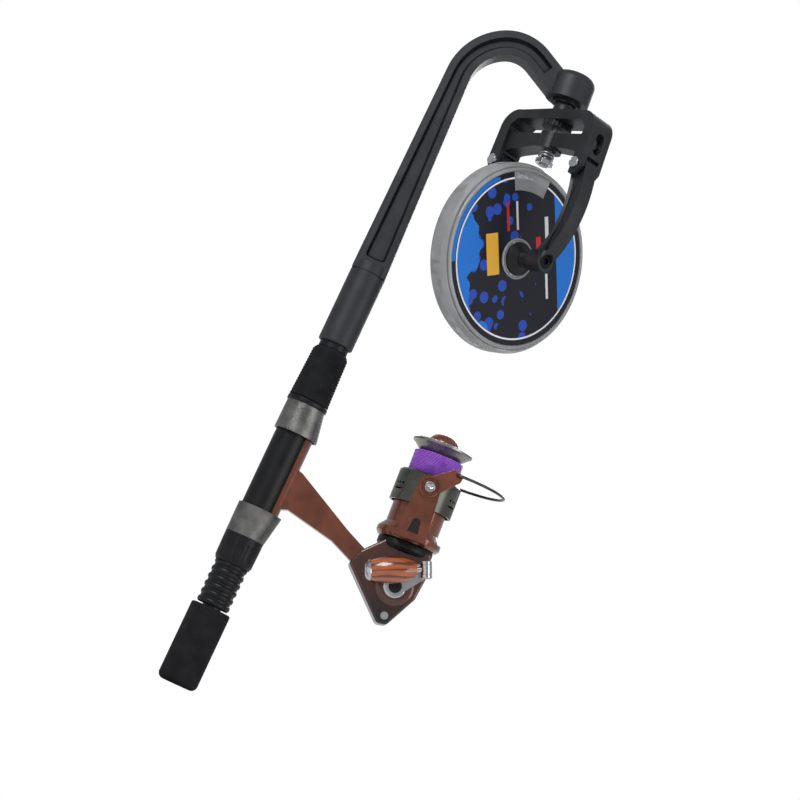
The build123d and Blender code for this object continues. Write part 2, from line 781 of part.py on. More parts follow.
def case_outline():
    """The gear case seen from its side: a blunt wedge that ends in a pointed tail."""
    Polyline(
        (reel_x - 12.0, reel_z - 2.4),
        (reel_x - 24.0, reel_z - 16.5),
        (reel_x - 27.5, reel_z - 26.0),
        (reel_x + 3.0, reel_z - 52.5),
        (reel_x + 9.0, reel_z - 51.0),
        (reel_x + 18.5, reel_z - 30.0),
        (reel_x + 20.0, reel_z - 9.0),
        (reel_x + 15.0, reel_z - 0.6),
        close=True,
    )


with BuildPart() as reel_case:
    with BuildSketch(Plane.XZ.offset(-case_half)) as case_sketch:
        with BuildLine():
            case_outline()
        make_face()
        fillet(case_sketch.vertices(), 3.0)
    extrude(amount=case_half - cover_y)
    fillet(reel_case.faces().sort_by(Axis.Y)[-1].edges(), 2.4)
    # Gear cavity, open towards the side cover, and the pinion's bore above it.
    with BuildSketch(Plane.XZ.offset(-cover_y)):
        with Locations((crank_x, crank_z)):
            Circle(gear_r + cavity_gap)
    extrude(amount=cover_y - 3.0, mode=Mode.SUBTRACT)
    with BuildSketch(Plane.XZ.offset(-3.0)):
        with Locations((crank_x, crank_z)):
            Circle(crank_shaft_r + run_gap)
    extrude(amount=-case_half + 4.0, mode=Mode.SUBTRACT)
    with BuildSketch(on(reel, Plane.XY)):
        Circle(pinion_r + 0.5)
    extrude(amount=pinion_low - 4.0, mode=Mode.SUBTRACT)
    # Stem and foot.
    with BuildSketch(Plane.XZ):
        with BuildLine():
            Polyline(
                (seat_r + 1.0, foot_high - 26.0),
                (seat_r + foot_t + 2.6, foot_high - 27.0),
                (reel_x - 36.0, reel_z - 8.0),
                (reel_x - 22.0, reel_z - 14.0),
                (reel_x - 20.0, reel_z - 27.0),
                (reel_x - 42.0, reel_z - 18.0),
                (seat_r + foot_t + 4.0, foot_low + 14.0),
                (seat_r + 1.0, foot_low + 12.0),
                close=True,
            )
        make_face()
    extrude(amount=stem_half, both=True)
    with BuildSketch(Plane.XY.offset(foot_low)):
        with Locations((foot_offset, 0)):
            Circle(foot_r)
        with Locations((seat_r, 0)):
            Rectangle(seat_r, 2 * foot_half, mode=Mode.INTERSECT)
    extrude(amount=foot_high - foot_low)
    with BuildSketch(Plane.XY.offset(foot_low - 1.0)):
        Circle(seat_r + run_gap)
        with Locations((-seat_r, 0)):
            Rectangle(2 * seat_r, 4 * seat_r)
    extrude(amount=foot_high - foot_low + 2.0, mode=Mode.SUBTRACT)
    for x, z in cover_holes:
        with BuildSketch(Plane.XZ.offset(-cover_y)):
            with Locations((x, z)):
                Circle(screw_r + glue_gap)
        extrude(amount=-cover_screw_grip - 1.0, mode=Mode.SUBTRACT)
save(reel_case, "reel_case")

with BuildPart() as side_cover:
    with BuildSketch(Plane.XZ.offset(-cover_y)) as cover_sketch:
        with BuildLine():
            case_outline()
        make_face()
        fillet(cover_sketch.vertices(), 3.0)
    extrude(amount=cover_t)
    fillet(side_cover.faces().sort_by(Axis.Y)[0].edges(), 1.6)
    with BuildSketch(Plane.XZ.offset(-cover_y)):
        with Locations((crank_x, crank_z)):
            Circle(crank_shaft_r + run_gap)
        with Locations(*cover_holes):
            Circle(screw_r + glue_gap)
    extrude(amount=cover_t, mode=Mode.SUBTRACT)
save(side_cover, "side_cover")

with BuildPart() as cover_screws:
    for x, z in cover_holes:
        with BuildSketch(Plane.XZ.offset(case_half)):
            with Locations((x, z)):
                Circle(2.4)
        extrude(amount=1.2)
        with BuildSketch(Plane.XZ.offset(case_half)):
            with Locations((x, z)):
                Circle(screw_r)
        extrude(amount=-cover_t - cover_screw_grip)
save(cover_screws, "cover_screws")

with BuildPart() as crank_bearing:
    with BuildSketch(crank_plane.offset(case_half)):
        Circle(bearing_r)
        Circle(crank_shaft_r + run_gap, mode=Mode.SUBTRACT)
    extrude(amount=bearing_t)
    chamfer(crank_bearing.faces().sort_by(Axis.Y)[0].edges().sort_by(SortBy.RADIUS)[-1], 0.6)
save(crank_bearing, "crank_bearing")

with BuildPart() as crank_shaft:
    with BuildSketch(crank_plane.offset(-case_half + 5.0)):
        Circle(crank_shaft_r)
    extrude(amount=case_half - 5.0 - crank_y + arm_t - 1.0)
save(crank_shaft, "crank_shaft")

with BuildPart() as drive_gear:
    with BuildSketch(crank_plane.offset(-gear_top)):
        Circle(gear_r)
        with PolarLocations(gear_r + 0.2, gear_teeth):
            Circle(0.55, mode=Mode.SUBTRACT)
        Circle(crank_shaft_r + glue_gap, mode=Mode.SUBTRACT)
    extrude(amount=gear_t)
save(drive_gear, "drive_gear")

with BuildPart() as crank_arm:
    with BuildSketch(crank_plane.offset(-crank_y)):
        with BuildLine():
            end = (hinge_x - crank_x, hinge_z - crank_z)
            across = Vector(-end[1], end[0]).normalized()
            a0 = across * 5.6
            a1 = Vector(*end) + across * 4.2
            b1 = Vector(*end) - across * 4.2
            Polyline(a0, a1, b1, -a0, close=True)
        make_face()
        Circle(5.6)
        with Locations(end):
            Circle(4.2)
    extrude(amount=arm_t)
    # Post with two ears for the fold hinge.
    with BuildSketch(hinge.offset(-hinge_half - ear_t - 0.1)):
        with BuildLine():
            reach = crank_y - knob_y
            Polyline((-3.4, 0), (-3.4, -reach), (3.4, -reach), (3.4, 0), close=True)
        make_face()
        Circle(hinge_r)
    extrude(amount=2 * (hinge_half + ear_t + 0.1))
    with BuildSketch(hinge.offset(-hinge_half - 0.1)):
        Circle(hinge_r + 1.6)
        Rectangle(14.0, 7.0)
    extrude(amount=2 * (hinge_half + 0.1), mode=Mode.SUBTRACT)
    with BuildSketch(hinge.offset(-20)):
        Circle(1.2 + run_gap)
    extrude(amount=40, mode=Mode.SUBTRACT)
    with BuildSketch(crank_plane.offset(-crank_y)):
        Circle(crank_shaft_r + glue_gap)
    extrude(amount=arm_t - 0.9, mode=Mode.SUBTRACT)
save(crank_arm, "crank_arm")

with BuildPart() as hinge_pin:
    with BuildSketch(hinge.offset(-hinge_half - ear_t)):
        Circle(1.2)
    extrude(amount=2 * (hinge_half + ear_t))
save(hinge_pin, "hinge_pin")

with BuildPart() as knob_spindle:
    with BuildSketch(hinge.offset(-hinge_half)):
        Circle(hinge_r)
        Circle(1.2 + run_gap, mode=Mode.SUBTRACT)
    extrude(amount=2 * hinge_half)
    with BuildSketch(on(hinge, Plane.YZ.offset(hinge_r - 0.6))):
        Circle(1.7)
    extrude(amount=knob_start + knob_length - hinge_r - 2.0)
save(knob_spindle, "knob_spindle")

knob_axis = Axis(hinge.origin, knob_dir)
with BuildPart() as knob:
    with BuildSketch(on(hinge, Plane.XY)):
        with BuildLine():
            k0 = knob_start
            k1 = knob_start + knob_length
            Line((k0, 1.7 + run_gap), (k0, 4.6))
            Spline((k0, 4.6), (k0 + knob_length * 0.45, knob_r), (k1 - 3.0, 6.0))
            RadiusArc((k1 - 3.0, 6.0), (k1, 2.6), 4.5)
            Line((k1, 2.6), (k1, 1.7 + run_gap))
            Line((k1, 1.7 + run_gap), (k0, 1.7 + run_gap))
        make_face()
    revolve(axis=knob_axis)
save(knob, "knob")

with BuildPart() as rotor:
    with BuildSketch(on(reel, Plane.XZ)):
        with BuildLine():
            Polyline(
                (shaft_r + run_gap + 1.3, 0),
                (rotor_r - 1.6, 0),
                (rotor_r, 2.0),
                (rotor_r, 5.0),
                (rotor_cup_r, 9.5),
                (rotor_cup_r, rotor_cup_top),
                (rotor_cup_r - rotor_wall, rotor_cup_top),
                (rotor_cup_r - rotor_wall, 2.6),
                (shaft_r + run_gap + 1.3, 2.6),
                close=True,
            )
        make_face()
    revolve(axis=reel_axis)
    for side in (1, -1):
        with BuildSketch(on(reel, Plane.XZ.offset(side * rotor_arm_in))):
            with BuildLine():
                Polyline((-9.5, 1.0), (9.5, 1.0), (7.2, bail_w), (-7.2, bail_w), close=True)
            make_face()
            with Locations((0, bail_w)):
                Circle(bail_boss_r)
        extrude(amount=side * rotor_arm_t)
        # A shallow pocket with a round top in the arm's outer face.
        with BuildSketch(on(reel, Plane.XZ.offset(side * (rotor_arm_in + rotor_arm_t)))):
            with BuildLine():
                pocket_end = 0.75 * pocket_half
                Polyline(
                    (-pocket_end, pocket_top),
                    (-pocket_half, pocket_low),
                    (pocket_half, pocket_low),
                    (pocket_end, pocket_top),
                )
                ThreePointArc(
                    (pocket_end, pocket_top),
                    (0, pocket_top + pocket_end),
                    (-pocket_end, pocket_top),
                )
            make_face()
        extrude(amount=-side * pocket_depth, mode=Mode.SUBTRACT)
        with BuildSketch(on(reel, Plane.XZ.offset(side * (rotor_cup_r - 1.0)))):
            with BuildLine():
                Polyline((-9.5, 1.0), (9.5, 1.0), (9.3, 4.2), (-9.3, 4.2), close=True)
            make_face()
        extrude(amount=side * (rotor_arm_in + rotor_arm_t - rotor_cup_r + 1.0))
        with BuildSketch(on(reel, Plane.XZ.offset(side * rotor_arm_in))):
            with Locations((0, bail_w)):
                Circle(bail_screw_r + run_gap)
        extrude(amount=side * rotor_arm_t, mode=Mode.SUBTRACT)
save(rotor, "rotor")

with BuildPart() as pinion:
    with BuildSketch(on(reel, Plane.XY.offset(pinion_low))):
        Circle(pinion_r)
        with PolarLocations(pinion_r + 0.15, 8):
            Circle(0.5, mode=Mode.SUBTRACT)
        Circle(shaft_r + run_gap, mode=Mode.SUBTRACT)
    extrude(amount=-pinion_low - 0.1)
    with BuildSketch(on(reel, Plane.XY.offset(-0.2))):
        Circle(shaft_r + run_gap + 1.25)
        Circle(shaft_r + run_gap, mode=Mode.SUBTRACT)
    extrude(amount=6.0)
save(pinion, "pinion")


def bail_lever(side):
    """One of the two levers that carry the bail wire, outside its rotor arm."""
    with BuildPart() as lever:
        with BuildSketch(on(reel, Plane.XZ.offset(side * (rotor_arm_in + rotor_arm_t + side_gap)))):
            with BuildLine():
                Polyline(
                    (-5.6, bail_w + 3.0),
                    (bail_end_u - 3.4, bail_end_w + 2.6),
                    (bail_end_u + 3.6, bail_end_w + 1.0),
                    (bail_end_u + 3.0, bail_end_w - 3.4),
                    (5.6, bail_w - 3.0),
                    close=True,
                )
            make_face()
            with Locations((0, bail_w)):
                Circle(6.4)
                Circle(bail_screw_r + run_gap, mode=Mode.SUBTRACT)
        extrude(amount=side * bail_lever_t)
        with BuildSketch(on(reel, Plane.XZ.offset(side * (rotor_arm_in + rotor_arm_t)))):
            with Locations((bail_end_u, bail_end_w)):
                Circle(bail_wire_r + glue_gap)
        extrude(amount=side * 10.0, mode=Mode.SUBTRACT)
    return lever


front_lever = bail_lever(1)
save(front_lever, "front_lever")
rear_lever = bail_lever(-1)
save(rear_lever, "rear_lever")

# The bail is one bent wire: a stub in each lever, a tight corner and a wide half circle.
lever_out = rotor_arm_in + rotor_arm_t + side_gap + bail_lever_t
with BuildPart() as bail_wire:
    with BuildLine(on(reel, Plane.XY.offset(bail_end_w))) as bail_path:
        stub_a = Line((bail_end_u, lever_out - 2.6), (bail_end_u, lever_out))
        corner_a = JernArc(stub_a @ 1, (0, 1), bail_corner_r, -90)
        bow = JernArc(corner_a @ 1, (1, 0), lever_out + bail_corner_r, -180)
        corner_b = JernArc(bow @ 1, (-1, 0), bail_corner_r, -90)
        Line(corner_b @ 1, corner_b @ 1 + (0, 2.6))
    with BuildSketch(Plane(bail_path.line @ 0, z_dir=bail_path.line % 0)):
        Circle(bail_wire_r)
    sweep()
save(bail_wire, "bail_wire")

with BuildPart() as bail_screws:
    for side in (1, -1):
        with BuildSketch(on(reel, Plane.XZ.offset(side * lever_out))):
            with Locations((0, bail_w)):
                Circle(bail_head_r)
        extrude(amount=side * 1.6)
        with BuildSketch(on(reel, Plane.XZ.offset(side * lever_out))):
            with Locations((0, bail_w)):
                Circle(bail_screw_r)
        extrude(amount=-side * (lever_out - rotor_arm_in - 0.1))
save(bail_screws, "bail_screws")

with BuildPart() as line_roller:
    with BuildSketch(on(reel, Plane.XZ.offset(rotor_arm_in + rotor_arm_t - 3.6))):
        with Locations((bail_end_u, bail_end_w)):
            Circle(roller_r)
            Circle(1.0 + run_gap, mode=Mode.SUBTRACT)
    extrude(amount=3.6)
save(line_roller, "line_roller")

with BuildPart() as roller_pin:
    with BuildSketch(on(reel, Plane.XZ.offset(rotor_arm_in + rotor_arm_t - 4.4))):
        with Locations((bail_end_u, bail_end_w)):
            Circle(1.0)
    extrude(amount=4.7)
    with BuildSketch(on(reel, Plane.XZ.offset(rotor_arm_in + rotor_arm_t - 4.4))):
        with Locations((bail_end_u, bail_end_w)):
            Circle(1.8)
    extrude(amount=0.7)
save(roller_pin, "roller_pin")

with BuildPart() as main_shaft:
    with BuildSketch(on(reel, Plane.XY.offset(shaft_low))):
        Circle(shaft_r)
    extrude(amount=lip_top + 3.0 - shaft_low)
save(main_shaft, "main_shaft")

with BuildPart() as reel_spool:
    with BuildSketch(on(reel, Plane.XZ)):
        with BuildLine():
            Polyline(
                (shaft_r + glue_gap, skirt_top - 3.0),
                (skirt_r - skirt_wall, skirt_top - 3.0),
                (skirt_r - skirt_wall, skirt_low),
                (skirt_r, skirt_low),
                (skirt_r, skirt_top - 1.2),
                (skirt_r - 1.2, skirt_top),
                (drum_r, skirt_top),
                (drum_r, lip_low),
                (lip_r - 1.6, lip_top - 3.0),
                (lip_r, lip_top - 2.0),
                (lip_r, lip_top - 0.8),
                (lip_r - 1.2, lip_top),
                (drag_r + 1.4, lip_top - 2.4),
                (shaft_r + glue_gap, lip_top - 2.4),
                close=True,
            )
        make_face()
    revolve(axis=reel_axis)
save(reel_spool, "reel_spool")

with BuildPart() as reel_pack:
    with BuildSketch(on(reel, Plane.XY.offset(skirt_top + 0.1))):
        Circle(pack_r)
        Circle(drum_r + glue_gap, mode=Mode.SUBTRACT)
    extrude(amount=lip_low - skirt_top - 2.6)
save(reel_pack, "reel_pack")


# The outer layer of line on the reel: one unbroken strand wound over the plain pack.
with BuildPart() as reel_line:
    wind_r = pack_r + line_r + glue_gap
    with BuildLine(on(reel, Plane.XY.offset(skirt_top + 1.0))) as wind:
        for first, crown, last in half_turns(wind_r, line_pitch, line_turns):
            ThreePointArc(first, crown, last)
    with BuildSketch(Plane(wind.line @ 0, z_dir=wind.line % 0)):
        Circle(line_r)
    sweep()
save(reel_line, "reel_line")
print("reel line: least gap between turns", round(line_pitch - 2 * line_r, 3))

with BuildPart() as drag_knob:
    with BuildSketch(on(reel, Plane.XZ)):
        with BuildLine():
            low = lip_top - 2.4 + side_gap
            Polyline((1.5, drag_top), (0, drag_top), (0, low), (drag_r, low), (drag_r, low + 2.2))
            ThreePointArc((drag_r, low + 2.2), (drag_r * 0.72, drag_top - 2.0), (1.5, drag_top))
        make_face()
    revolve(axis=reel_axis)
    with BuildSketch(on(reel, Plane.XY)):
        Circle(shaft_r + run_gap)
    extrude(amount=lip_top + 3.0 + side_gap, mode=Mode.SUBTRACT)
save(drag_knob, "drag_knob")
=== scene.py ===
# %% [markdown]
# # A hand-held fishing line winder
# The winder is a short rod handle with a spinning reel on it. A gooseneck arm carries a fork that
# holds a bulk spool of line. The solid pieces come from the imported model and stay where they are.
# This lesson gives them soft edges, real finishes and the fine work that a solid model leaves out.

# %% Load the frame
from math import cos, pi, radians, sin

import bpy
from mathutils import Matrix, Vector
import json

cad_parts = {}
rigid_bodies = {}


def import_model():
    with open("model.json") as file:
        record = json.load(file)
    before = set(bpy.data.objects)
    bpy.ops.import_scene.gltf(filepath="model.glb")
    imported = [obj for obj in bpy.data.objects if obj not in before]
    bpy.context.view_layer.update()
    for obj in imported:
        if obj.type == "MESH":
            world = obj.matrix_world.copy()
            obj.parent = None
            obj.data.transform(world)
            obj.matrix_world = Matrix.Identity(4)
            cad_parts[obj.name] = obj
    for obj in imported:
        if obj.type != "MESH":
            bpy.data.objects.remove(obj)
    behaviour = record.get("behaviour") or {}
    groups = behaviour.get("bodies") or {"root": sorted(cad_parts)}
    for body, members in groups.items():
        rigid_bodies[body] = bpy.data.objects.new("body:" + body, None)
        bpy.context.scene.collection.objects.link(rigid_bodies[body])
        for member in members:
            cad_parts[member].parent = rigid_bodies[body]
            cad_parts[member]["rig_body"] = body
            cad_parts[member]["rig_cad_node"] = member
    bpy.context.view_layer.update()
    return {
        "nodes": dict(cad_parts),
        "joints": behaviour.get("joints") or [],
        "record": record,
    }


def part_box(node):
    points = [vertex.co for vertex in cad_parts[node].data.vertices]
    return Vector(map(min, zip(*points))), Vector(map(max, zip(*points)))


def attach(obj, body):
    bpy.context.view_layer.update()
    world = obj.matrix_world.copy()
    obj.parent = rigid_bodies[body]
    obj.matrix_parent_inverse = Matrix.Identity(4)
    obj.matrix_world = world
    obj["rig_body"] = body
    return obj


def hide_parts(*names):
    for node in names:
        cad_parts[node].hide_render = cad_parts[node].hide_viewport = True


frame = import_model()
nodes = frame["nodes"]
body_of_node = {
    node: body for body, members in frame["record"]["behaviour"]["bodies"].items() for node in members
}
joints = {joint["name"]: joint for joint in frame["joints"]}
mm = 0.001
print("loaded", len(nodes), "solid pieces")

# %% [markdown]
# ## Three working frames
# Most pieces are turned about an axis: the handle's, the bulk spool's or the reel's. The last two
# are joints of the model, so their frames are read from the joints and never guessed.

# %% Working frames
def working_frame(origin, x_axis, z_axis):
    """The matrix that takes local points, with z up an axis, to the object's own place."""
    z = Vector(z_axis).normalized()
    x = (Vector(x_axis) - z * Vector(x_axis).dot(z)).normalized()
    y = z.cross(x)
    matrix = Matrix((x, y, z)).transposed().to_4x4()
    matrix.translation = Vector(origin)
    return matrix


rotor_joint_rise = 10         # the rotor's joint above the rotor's base, in millimetres

spool_centre = Vector(joints["spool_spin"]["pos_m"])
spool_axis = Vector(joints["spool_spin"]["axis"]).normalized()
fork_up = Vector(joints["yoke_swivel"]["axis"]).normalized()
fork_across = fork_up.cross(spool_axis)
reel_up = Vector(joints["rotor_spin"]["axis"]).normalized()
reel_base = Vector(joints["rotor_spin"]["pos_m"]) - reel_up * rotor_joint_rise * mm
reel_out = Vector((0, 1, 0)).cross(reel_up)

handle_frame = Matrix.Identity(4)
spool_frame = working_frame(spool_centre, fork_across, spool_axis)
reel_frame = working_frame(reel_base, reel_out, reel_up)
print("bulk spool centre", tuple(round(c, 4) for c in spool_centre))

# %% [markdown]
# ## Camera and studio
# The winder was photographed from a little below, with the handle leaning to the right. A long
# lens flattens the view. The lamps are large and weak, so that a colour shows as it is written.

# %% Camera
view_centre = Vector((51.0 * mm, 0, 215.4 * mm))
view_distance = 1.3
view_elevation = radians(-9.0)
view_roll = radians(24.8)
pixels_per_metre = 1613.0
frame_pixels = 800.0

forward = Vector((0, cos(view_elevation), -sin(view_elevation)))
right = forward.cross(Vector((0, 0, 1))).normalized()
up = right.cross(forward)
rolled_right = right * cos(view_roll) + up * sin(view_roll)
rolled_up = up * cos(view_roll) - right * sin(view_roll)
camera_data = bpy.data.cameras.new("camera")
camera_data.sensor_width = 36.0
camera_data.lens = 36.0 * pixels_per_metre * view_distance / frame_pixels
camera = bpy.data.objects.new("camera", camera_data)
bpy.context.scene.collection.objects.link(camera)
camera_matrix = Matrix((rolled_right, rolled_up, -forward)).transposed().to_4x4()
camera_matrix.translation = view_centre - forward * view_distance
camera.matrix_world = camera_matrix
bpy.context.scene.camera = camera
bpy.context.scene.view_settings.view_transform = "Standard"
print("lens", round(camera_data.lens, 1))


# %% Studio
def softbox(name, place, size, watts, target=view_centre):
    """A large square lamp that faces the winder."""
    data = bpy.data.lights.new(name, "AREA")
    data.shape = "SQUARE"
    data.size = size
    data.energy = watts
    lamp = bpy.data.objects.new(name, data)
    bpy.context.scene.collection.objects.link(lamp)
    lamp.location = place
    lamp.rotation_euler = (Vector(target) - Vector(place)).to_track_quat("-Z", "Y").to_euler()
    return lamp


softbox("key_lamp", (-0.7, -1.1, 1.1), 0.7, 13.0)
softbox("fill_lamp", (1.2, -0.9, 0.3), 0.9, 6.0)
softbox("back_lamp", (0.3, 1.2, 0.9), 0.8, 8.0)


def seen_white(tree, white, shaded, output, ray_kinds=("Is Camera Ray", "Is Transmission Ray")):
    """The named kinds of ray see plain white, and every other ray sees the shaded surface."""
    path = tree.nodes.new("ShaderNodeLightPath")
    either = tree.nodes.new("ShaderNodeMath")
    either.operation = "MAXIMUM"
    for socket, kind in zip(either.inputs, ray_kinds):
        tree.links.new(path.outputs[kind], socket)
    mix = tree.nodes.new("ShaderNodeMixShader")
    tree.links.new(either.outputs[0], mix.inputs[0])
    tree.links.new(shaded, mix.inputs[1])
    tree.links.new(white, mix.inputs[2])
    tree.links.new(mix.outputs[0], output)


world = bpy.data.worlds.new("studio")
bpy.context.scene.world = world
world.use_nodes = True
world_tree = world.node_tree
ambient = world_tree.nodes["Background"]
ambient.inputs["Color"].default_value = (0.93, 0.96, 1.0, 1)
ambient.inputs["Strength"].default_value = 0.42
backdrop = world_tree.nodes.new("ShaderNodeBackground")
backdrop.inputs["Color"].default_value = (1, 1, 1, 1)
seen_white(
    world_tree, backdrop.outputs[0], ambient.outputs[0],
    world_tree.nodes["World Output"].inputs["Surface"],
)

bpy.ops.object.select_all(action="DESELECT")
bpy.ops.mesh.primitive_circle_add(vertices=64, radius=4.0, fill_type="NGON", location=(0, 0, -0.0002))
floor = bpy.context.object
floor.name = "floor"
floor_paint = bpy.data.materials.new("floor_paint")
floor_paint.use_nodes = True
floor_tree = floor_paint.node_tree
paint = floor_tree.nodes["Principled BSDF"]
paint.inputs["Base Color"].default_value = (0.8, 0.8, 0.8, 1)
paint.inputs["Roughness"].default_value = 0.9
floor_glow = floor_tree.nodes.new("ShaderNodeEmission")
floor_glow.inputs["Strength"].default_value = 1.0
seen_white(
    floor_tree, floor_glow.outputs[0], paint.outputs[0],
    floor_tree.nodes["Material Output"].inputs["Surface"],
)
floor.data.materials.append(floor_paint)

# %% [markdown]
# ## Finishes
# Every finish is built from nodes that read Object coordinates, so it stays put on its piece.
# A fine noise varies the colour and the roughness, and a finer one gives the surface its grain.


# %% Helpers for finishes
def new_node(tree, kind, **sockets):
    node = tree.nodes.new(kind)
    for name, value in sockets.items():
        node.inputs[name.replace("_", " ")].default_value = value
    return node


def math(tree, operation, first, second=None, clamp=False):
    """A Math node on sockets or plain numbers. Gives its output."""
    node = tree.nodes.new("ShaderNodeMath")
    node.operation = operation
    node.use_clamp = clamp
    for socket, value in zip(node.inputs, (first, second)):
        if value is None:
            continue
        if isinstance(value, (int, float)):
            socket.default_value = value
        else:
            tree.links.new(value, socket)
    return node.outputs[0]


def mix_colour(tree, factor, first, second):
    """Mixes two colours, each a tuple or a socket."""
    node = tree.nodes.new("ShaderNodeMix")
    node.data_type = "RGBA"
    if isinstance(factor, (int, float)):
        node.inputs[0].default_value = factor
    else:
        tree.links.new(factor, node.inputs[0])
    for socket, value in ((node.inputs[6], first), (node.inputs[7], second)):
        if isinstance(value, tuple):
            socket.default_value = (*value, 1)
        else:
            tree.links.new(value, socket)
    return node.outputs[2]


def object_point(tree, place=None):
    """Object coordinates, in a working frame if one is given."""
    point = tree.nodes.new("ShaderNodeTexCoord").outputs["Object"]
    if place is None:
        return point
    mapping = tree.nodes.new("ShaderNodeMapping")
    mapping.vector_type = "TEXTURE"
    mapping.inputs["Location"].default_value = place.translation
    mapping.inputs["Rotation"].default_value = place.to_euler()
    tree.links.new(point, mapping.inputs["Vector"])
    return mapping.outputs[0]


def noise(tree, point, scale, detail=3.0, stretch=None):
    """A noise of the given scale, in cycles per metre, stretched if asked."""
    if stretch is not None:
        mapping = tree.nodes.new("ShaderNodeMapping")
        mapping.inputs["Scale"].default_value = stretch
        tree.links.new(point, mapping.inputs["Vector"])
        point = mapping.outputs[0]
    node = new_node(tree, "ShaderNodeTexNoise", Scale=scale, Detail=detail)
    tree.links.new(point, node.inputs["Vector"])
    return node.outputs["Fac"]


def ramp(tree, value, low, high):
    """Value spread so that low becomes 0 and high becomes 1."""
    node = tree.nodes.new("ShaderNodeMapRange")
    node.inputs["From Min"].default_value = low
    node.inputs["From Max"].default_value = high
    tree.links.new(value, node.inputs["Value"])
    return node.outputs[0]


def bump(tree, shader, height, distance):
    node = tree.nodes.new("ShaderNodeBump")
    node.inputs["Distance"].default_value = distance
    node.inputs["Strength"].default_value = 1.0
    tree.links.new(height, node.inputs["Height"])
    tree.links.new(node.outputs[0], shader.inputs["Normal"])


def finish(
    name, dark, light, rough, metallic=0.0, coat=0.0, grain=2500.0, depth=0.00002, stretch=None, shine=0.5
):
    """A surface whose colour, roughness and grain all vary a little."""
    material = bpy.data.materials.new(name)
    material.use_nodes = True
    tree = material.node_tree
    shader = tree.nodes["Principled BSDF"]
    shader.inputs["Metallic"].default_value = metallic
    shader.inputs["Specular IOR Level"].default_value = shine
    shader.inputs["Coat Weight"].default_value = coat
    shader.inputs["Coat Roughness"].default_value = 0.08
    point = object_point(tree)
    cloud = noise(tree, point, 90.0, 4.0)
    fine = noise(tree, point, grain, 2.0, stretch)
    tree.links.new(
        mix_colour(tree, ramp(tree, cloud, 0.3, 0.7), dark, light), shader.inputs["Base Color"]
    )
    spread = math(tree, "MULTIPLY", math(tree, "SUBTRACT", fine, 0.5), 0.22)
    tree.links.new(math(tree, "ADD", spread, rough, clamp=True), shader.inputs["Roughness"])
    bump(tree, shader, fine, depth)
    return material


def shader_of(material):
    return material.node_tree, material.node_tree.nodes["Principled BSDF"]


# %% Plain finishes
foam = finish(
    "foam", (0.006, 0.006, 0.007), (0.016, 0.016, 0.018), 0.88, grain=3800.0, depth=0.00012, shine=0.2
)
seat_black = finish(
    "seat_black", (0.003, 0.003, 0.004), (0.008, 0.008, 0.009), 0.4, grain=1800.0, shine=0.28
)
arm_plastic = finish(
    "arm_plastic", (0.014, 0.0155, 0.019), (0.026, 0.028, 0.034), 0.46,
    grain=2600.0, depth=0.00005, shine=0.4,
)
fork_plastic = finish(
    "fork_plastic", (0.011, 0.0118, 0.0135), (0.022, 0.0232, 0.026), 0.4,
    grain=2600.0, depth=0.00005, shine=0.4,
)
cone_black = finish(
    "cone_black", (0.004, 0.004, 0.005), (0.011, 0.011, 0.012), 0.42, grain=2600.0, shine=0.3
)
copper = finish(
    "copper", (0.15, 0.036, 0.014), (0.26, 0.07, 0.03), 0.27, metallic=0.62, coat=0.95, grain=5200.0
)
cover_brown = finish(
    "cover_brown", (0.06, 0.018, 0.01), (0.11, 0.034, 0.019), 0.26, metallic=0.5, coat=0.95, grain=5200.0
)
chrome = finish("chrome", (0.5, 0.5, 0.52), (0.66, 0.66, 0.68), 0.14, metallic=1.0, grain=900.0)
steel = finish(
    "steel", (0.36, 0.36, 0.37), (0.5, 0.5, 0.5), 0.32, metallic=1.0, grain=1500.0, stretch=(1, 1, 9)
)
wire_steel = finish("wire_steel", (0.05, 0.05, 0.05), (0.12, 0.12, 0.12), 0.28, metallic=1.0, grain=900.0)
brass = finish("brass", (0.42, 0.29, 0.1), (0.55, 0.4, 0.16), 0.35, metallic=1.0, grain=900.0)
axle_black = finish(
    "axle_black", (0.012, 0.012, 0.013), (0.03, 0.03, 0.031), 0.32, metallic=0.9, grain=900.0
)
tube_black = finish("tube_black", (0.008, 0.008, 0.009), (0.016, 0.016, 0.018), 0.3, coat=0.3, shine=0.3)

# %% [markdown]
# The two hoods are drawn metal sleeves. Brushing runs round them, so the noise is squeezed hard
# along the handle and hardly at all across it. A slow noise darkens them in patches, as handling does.


# %% Brushed hood metal
def brushed_hood():
    material = finish(
        "hood_metal", (0.11, 0.109, 0.104), (0.27, 0.266, 0.256), 0.3, metallic=0.95, grain=260.0,
        depth=0.00003, stretch=(1, 1, 26),
    )
    tree, shader = shader_of(material)
    shader.inputs["Anisotropic"].default_value = 0.5
    return material


hood_metal = brushed_hood()

# %% [markdown]
# The knob is lacquered wood-look resin. Its dark lines are layers that the turning cut through, so
# they are bands of a wave that a noise bends, with a clear coat over them.


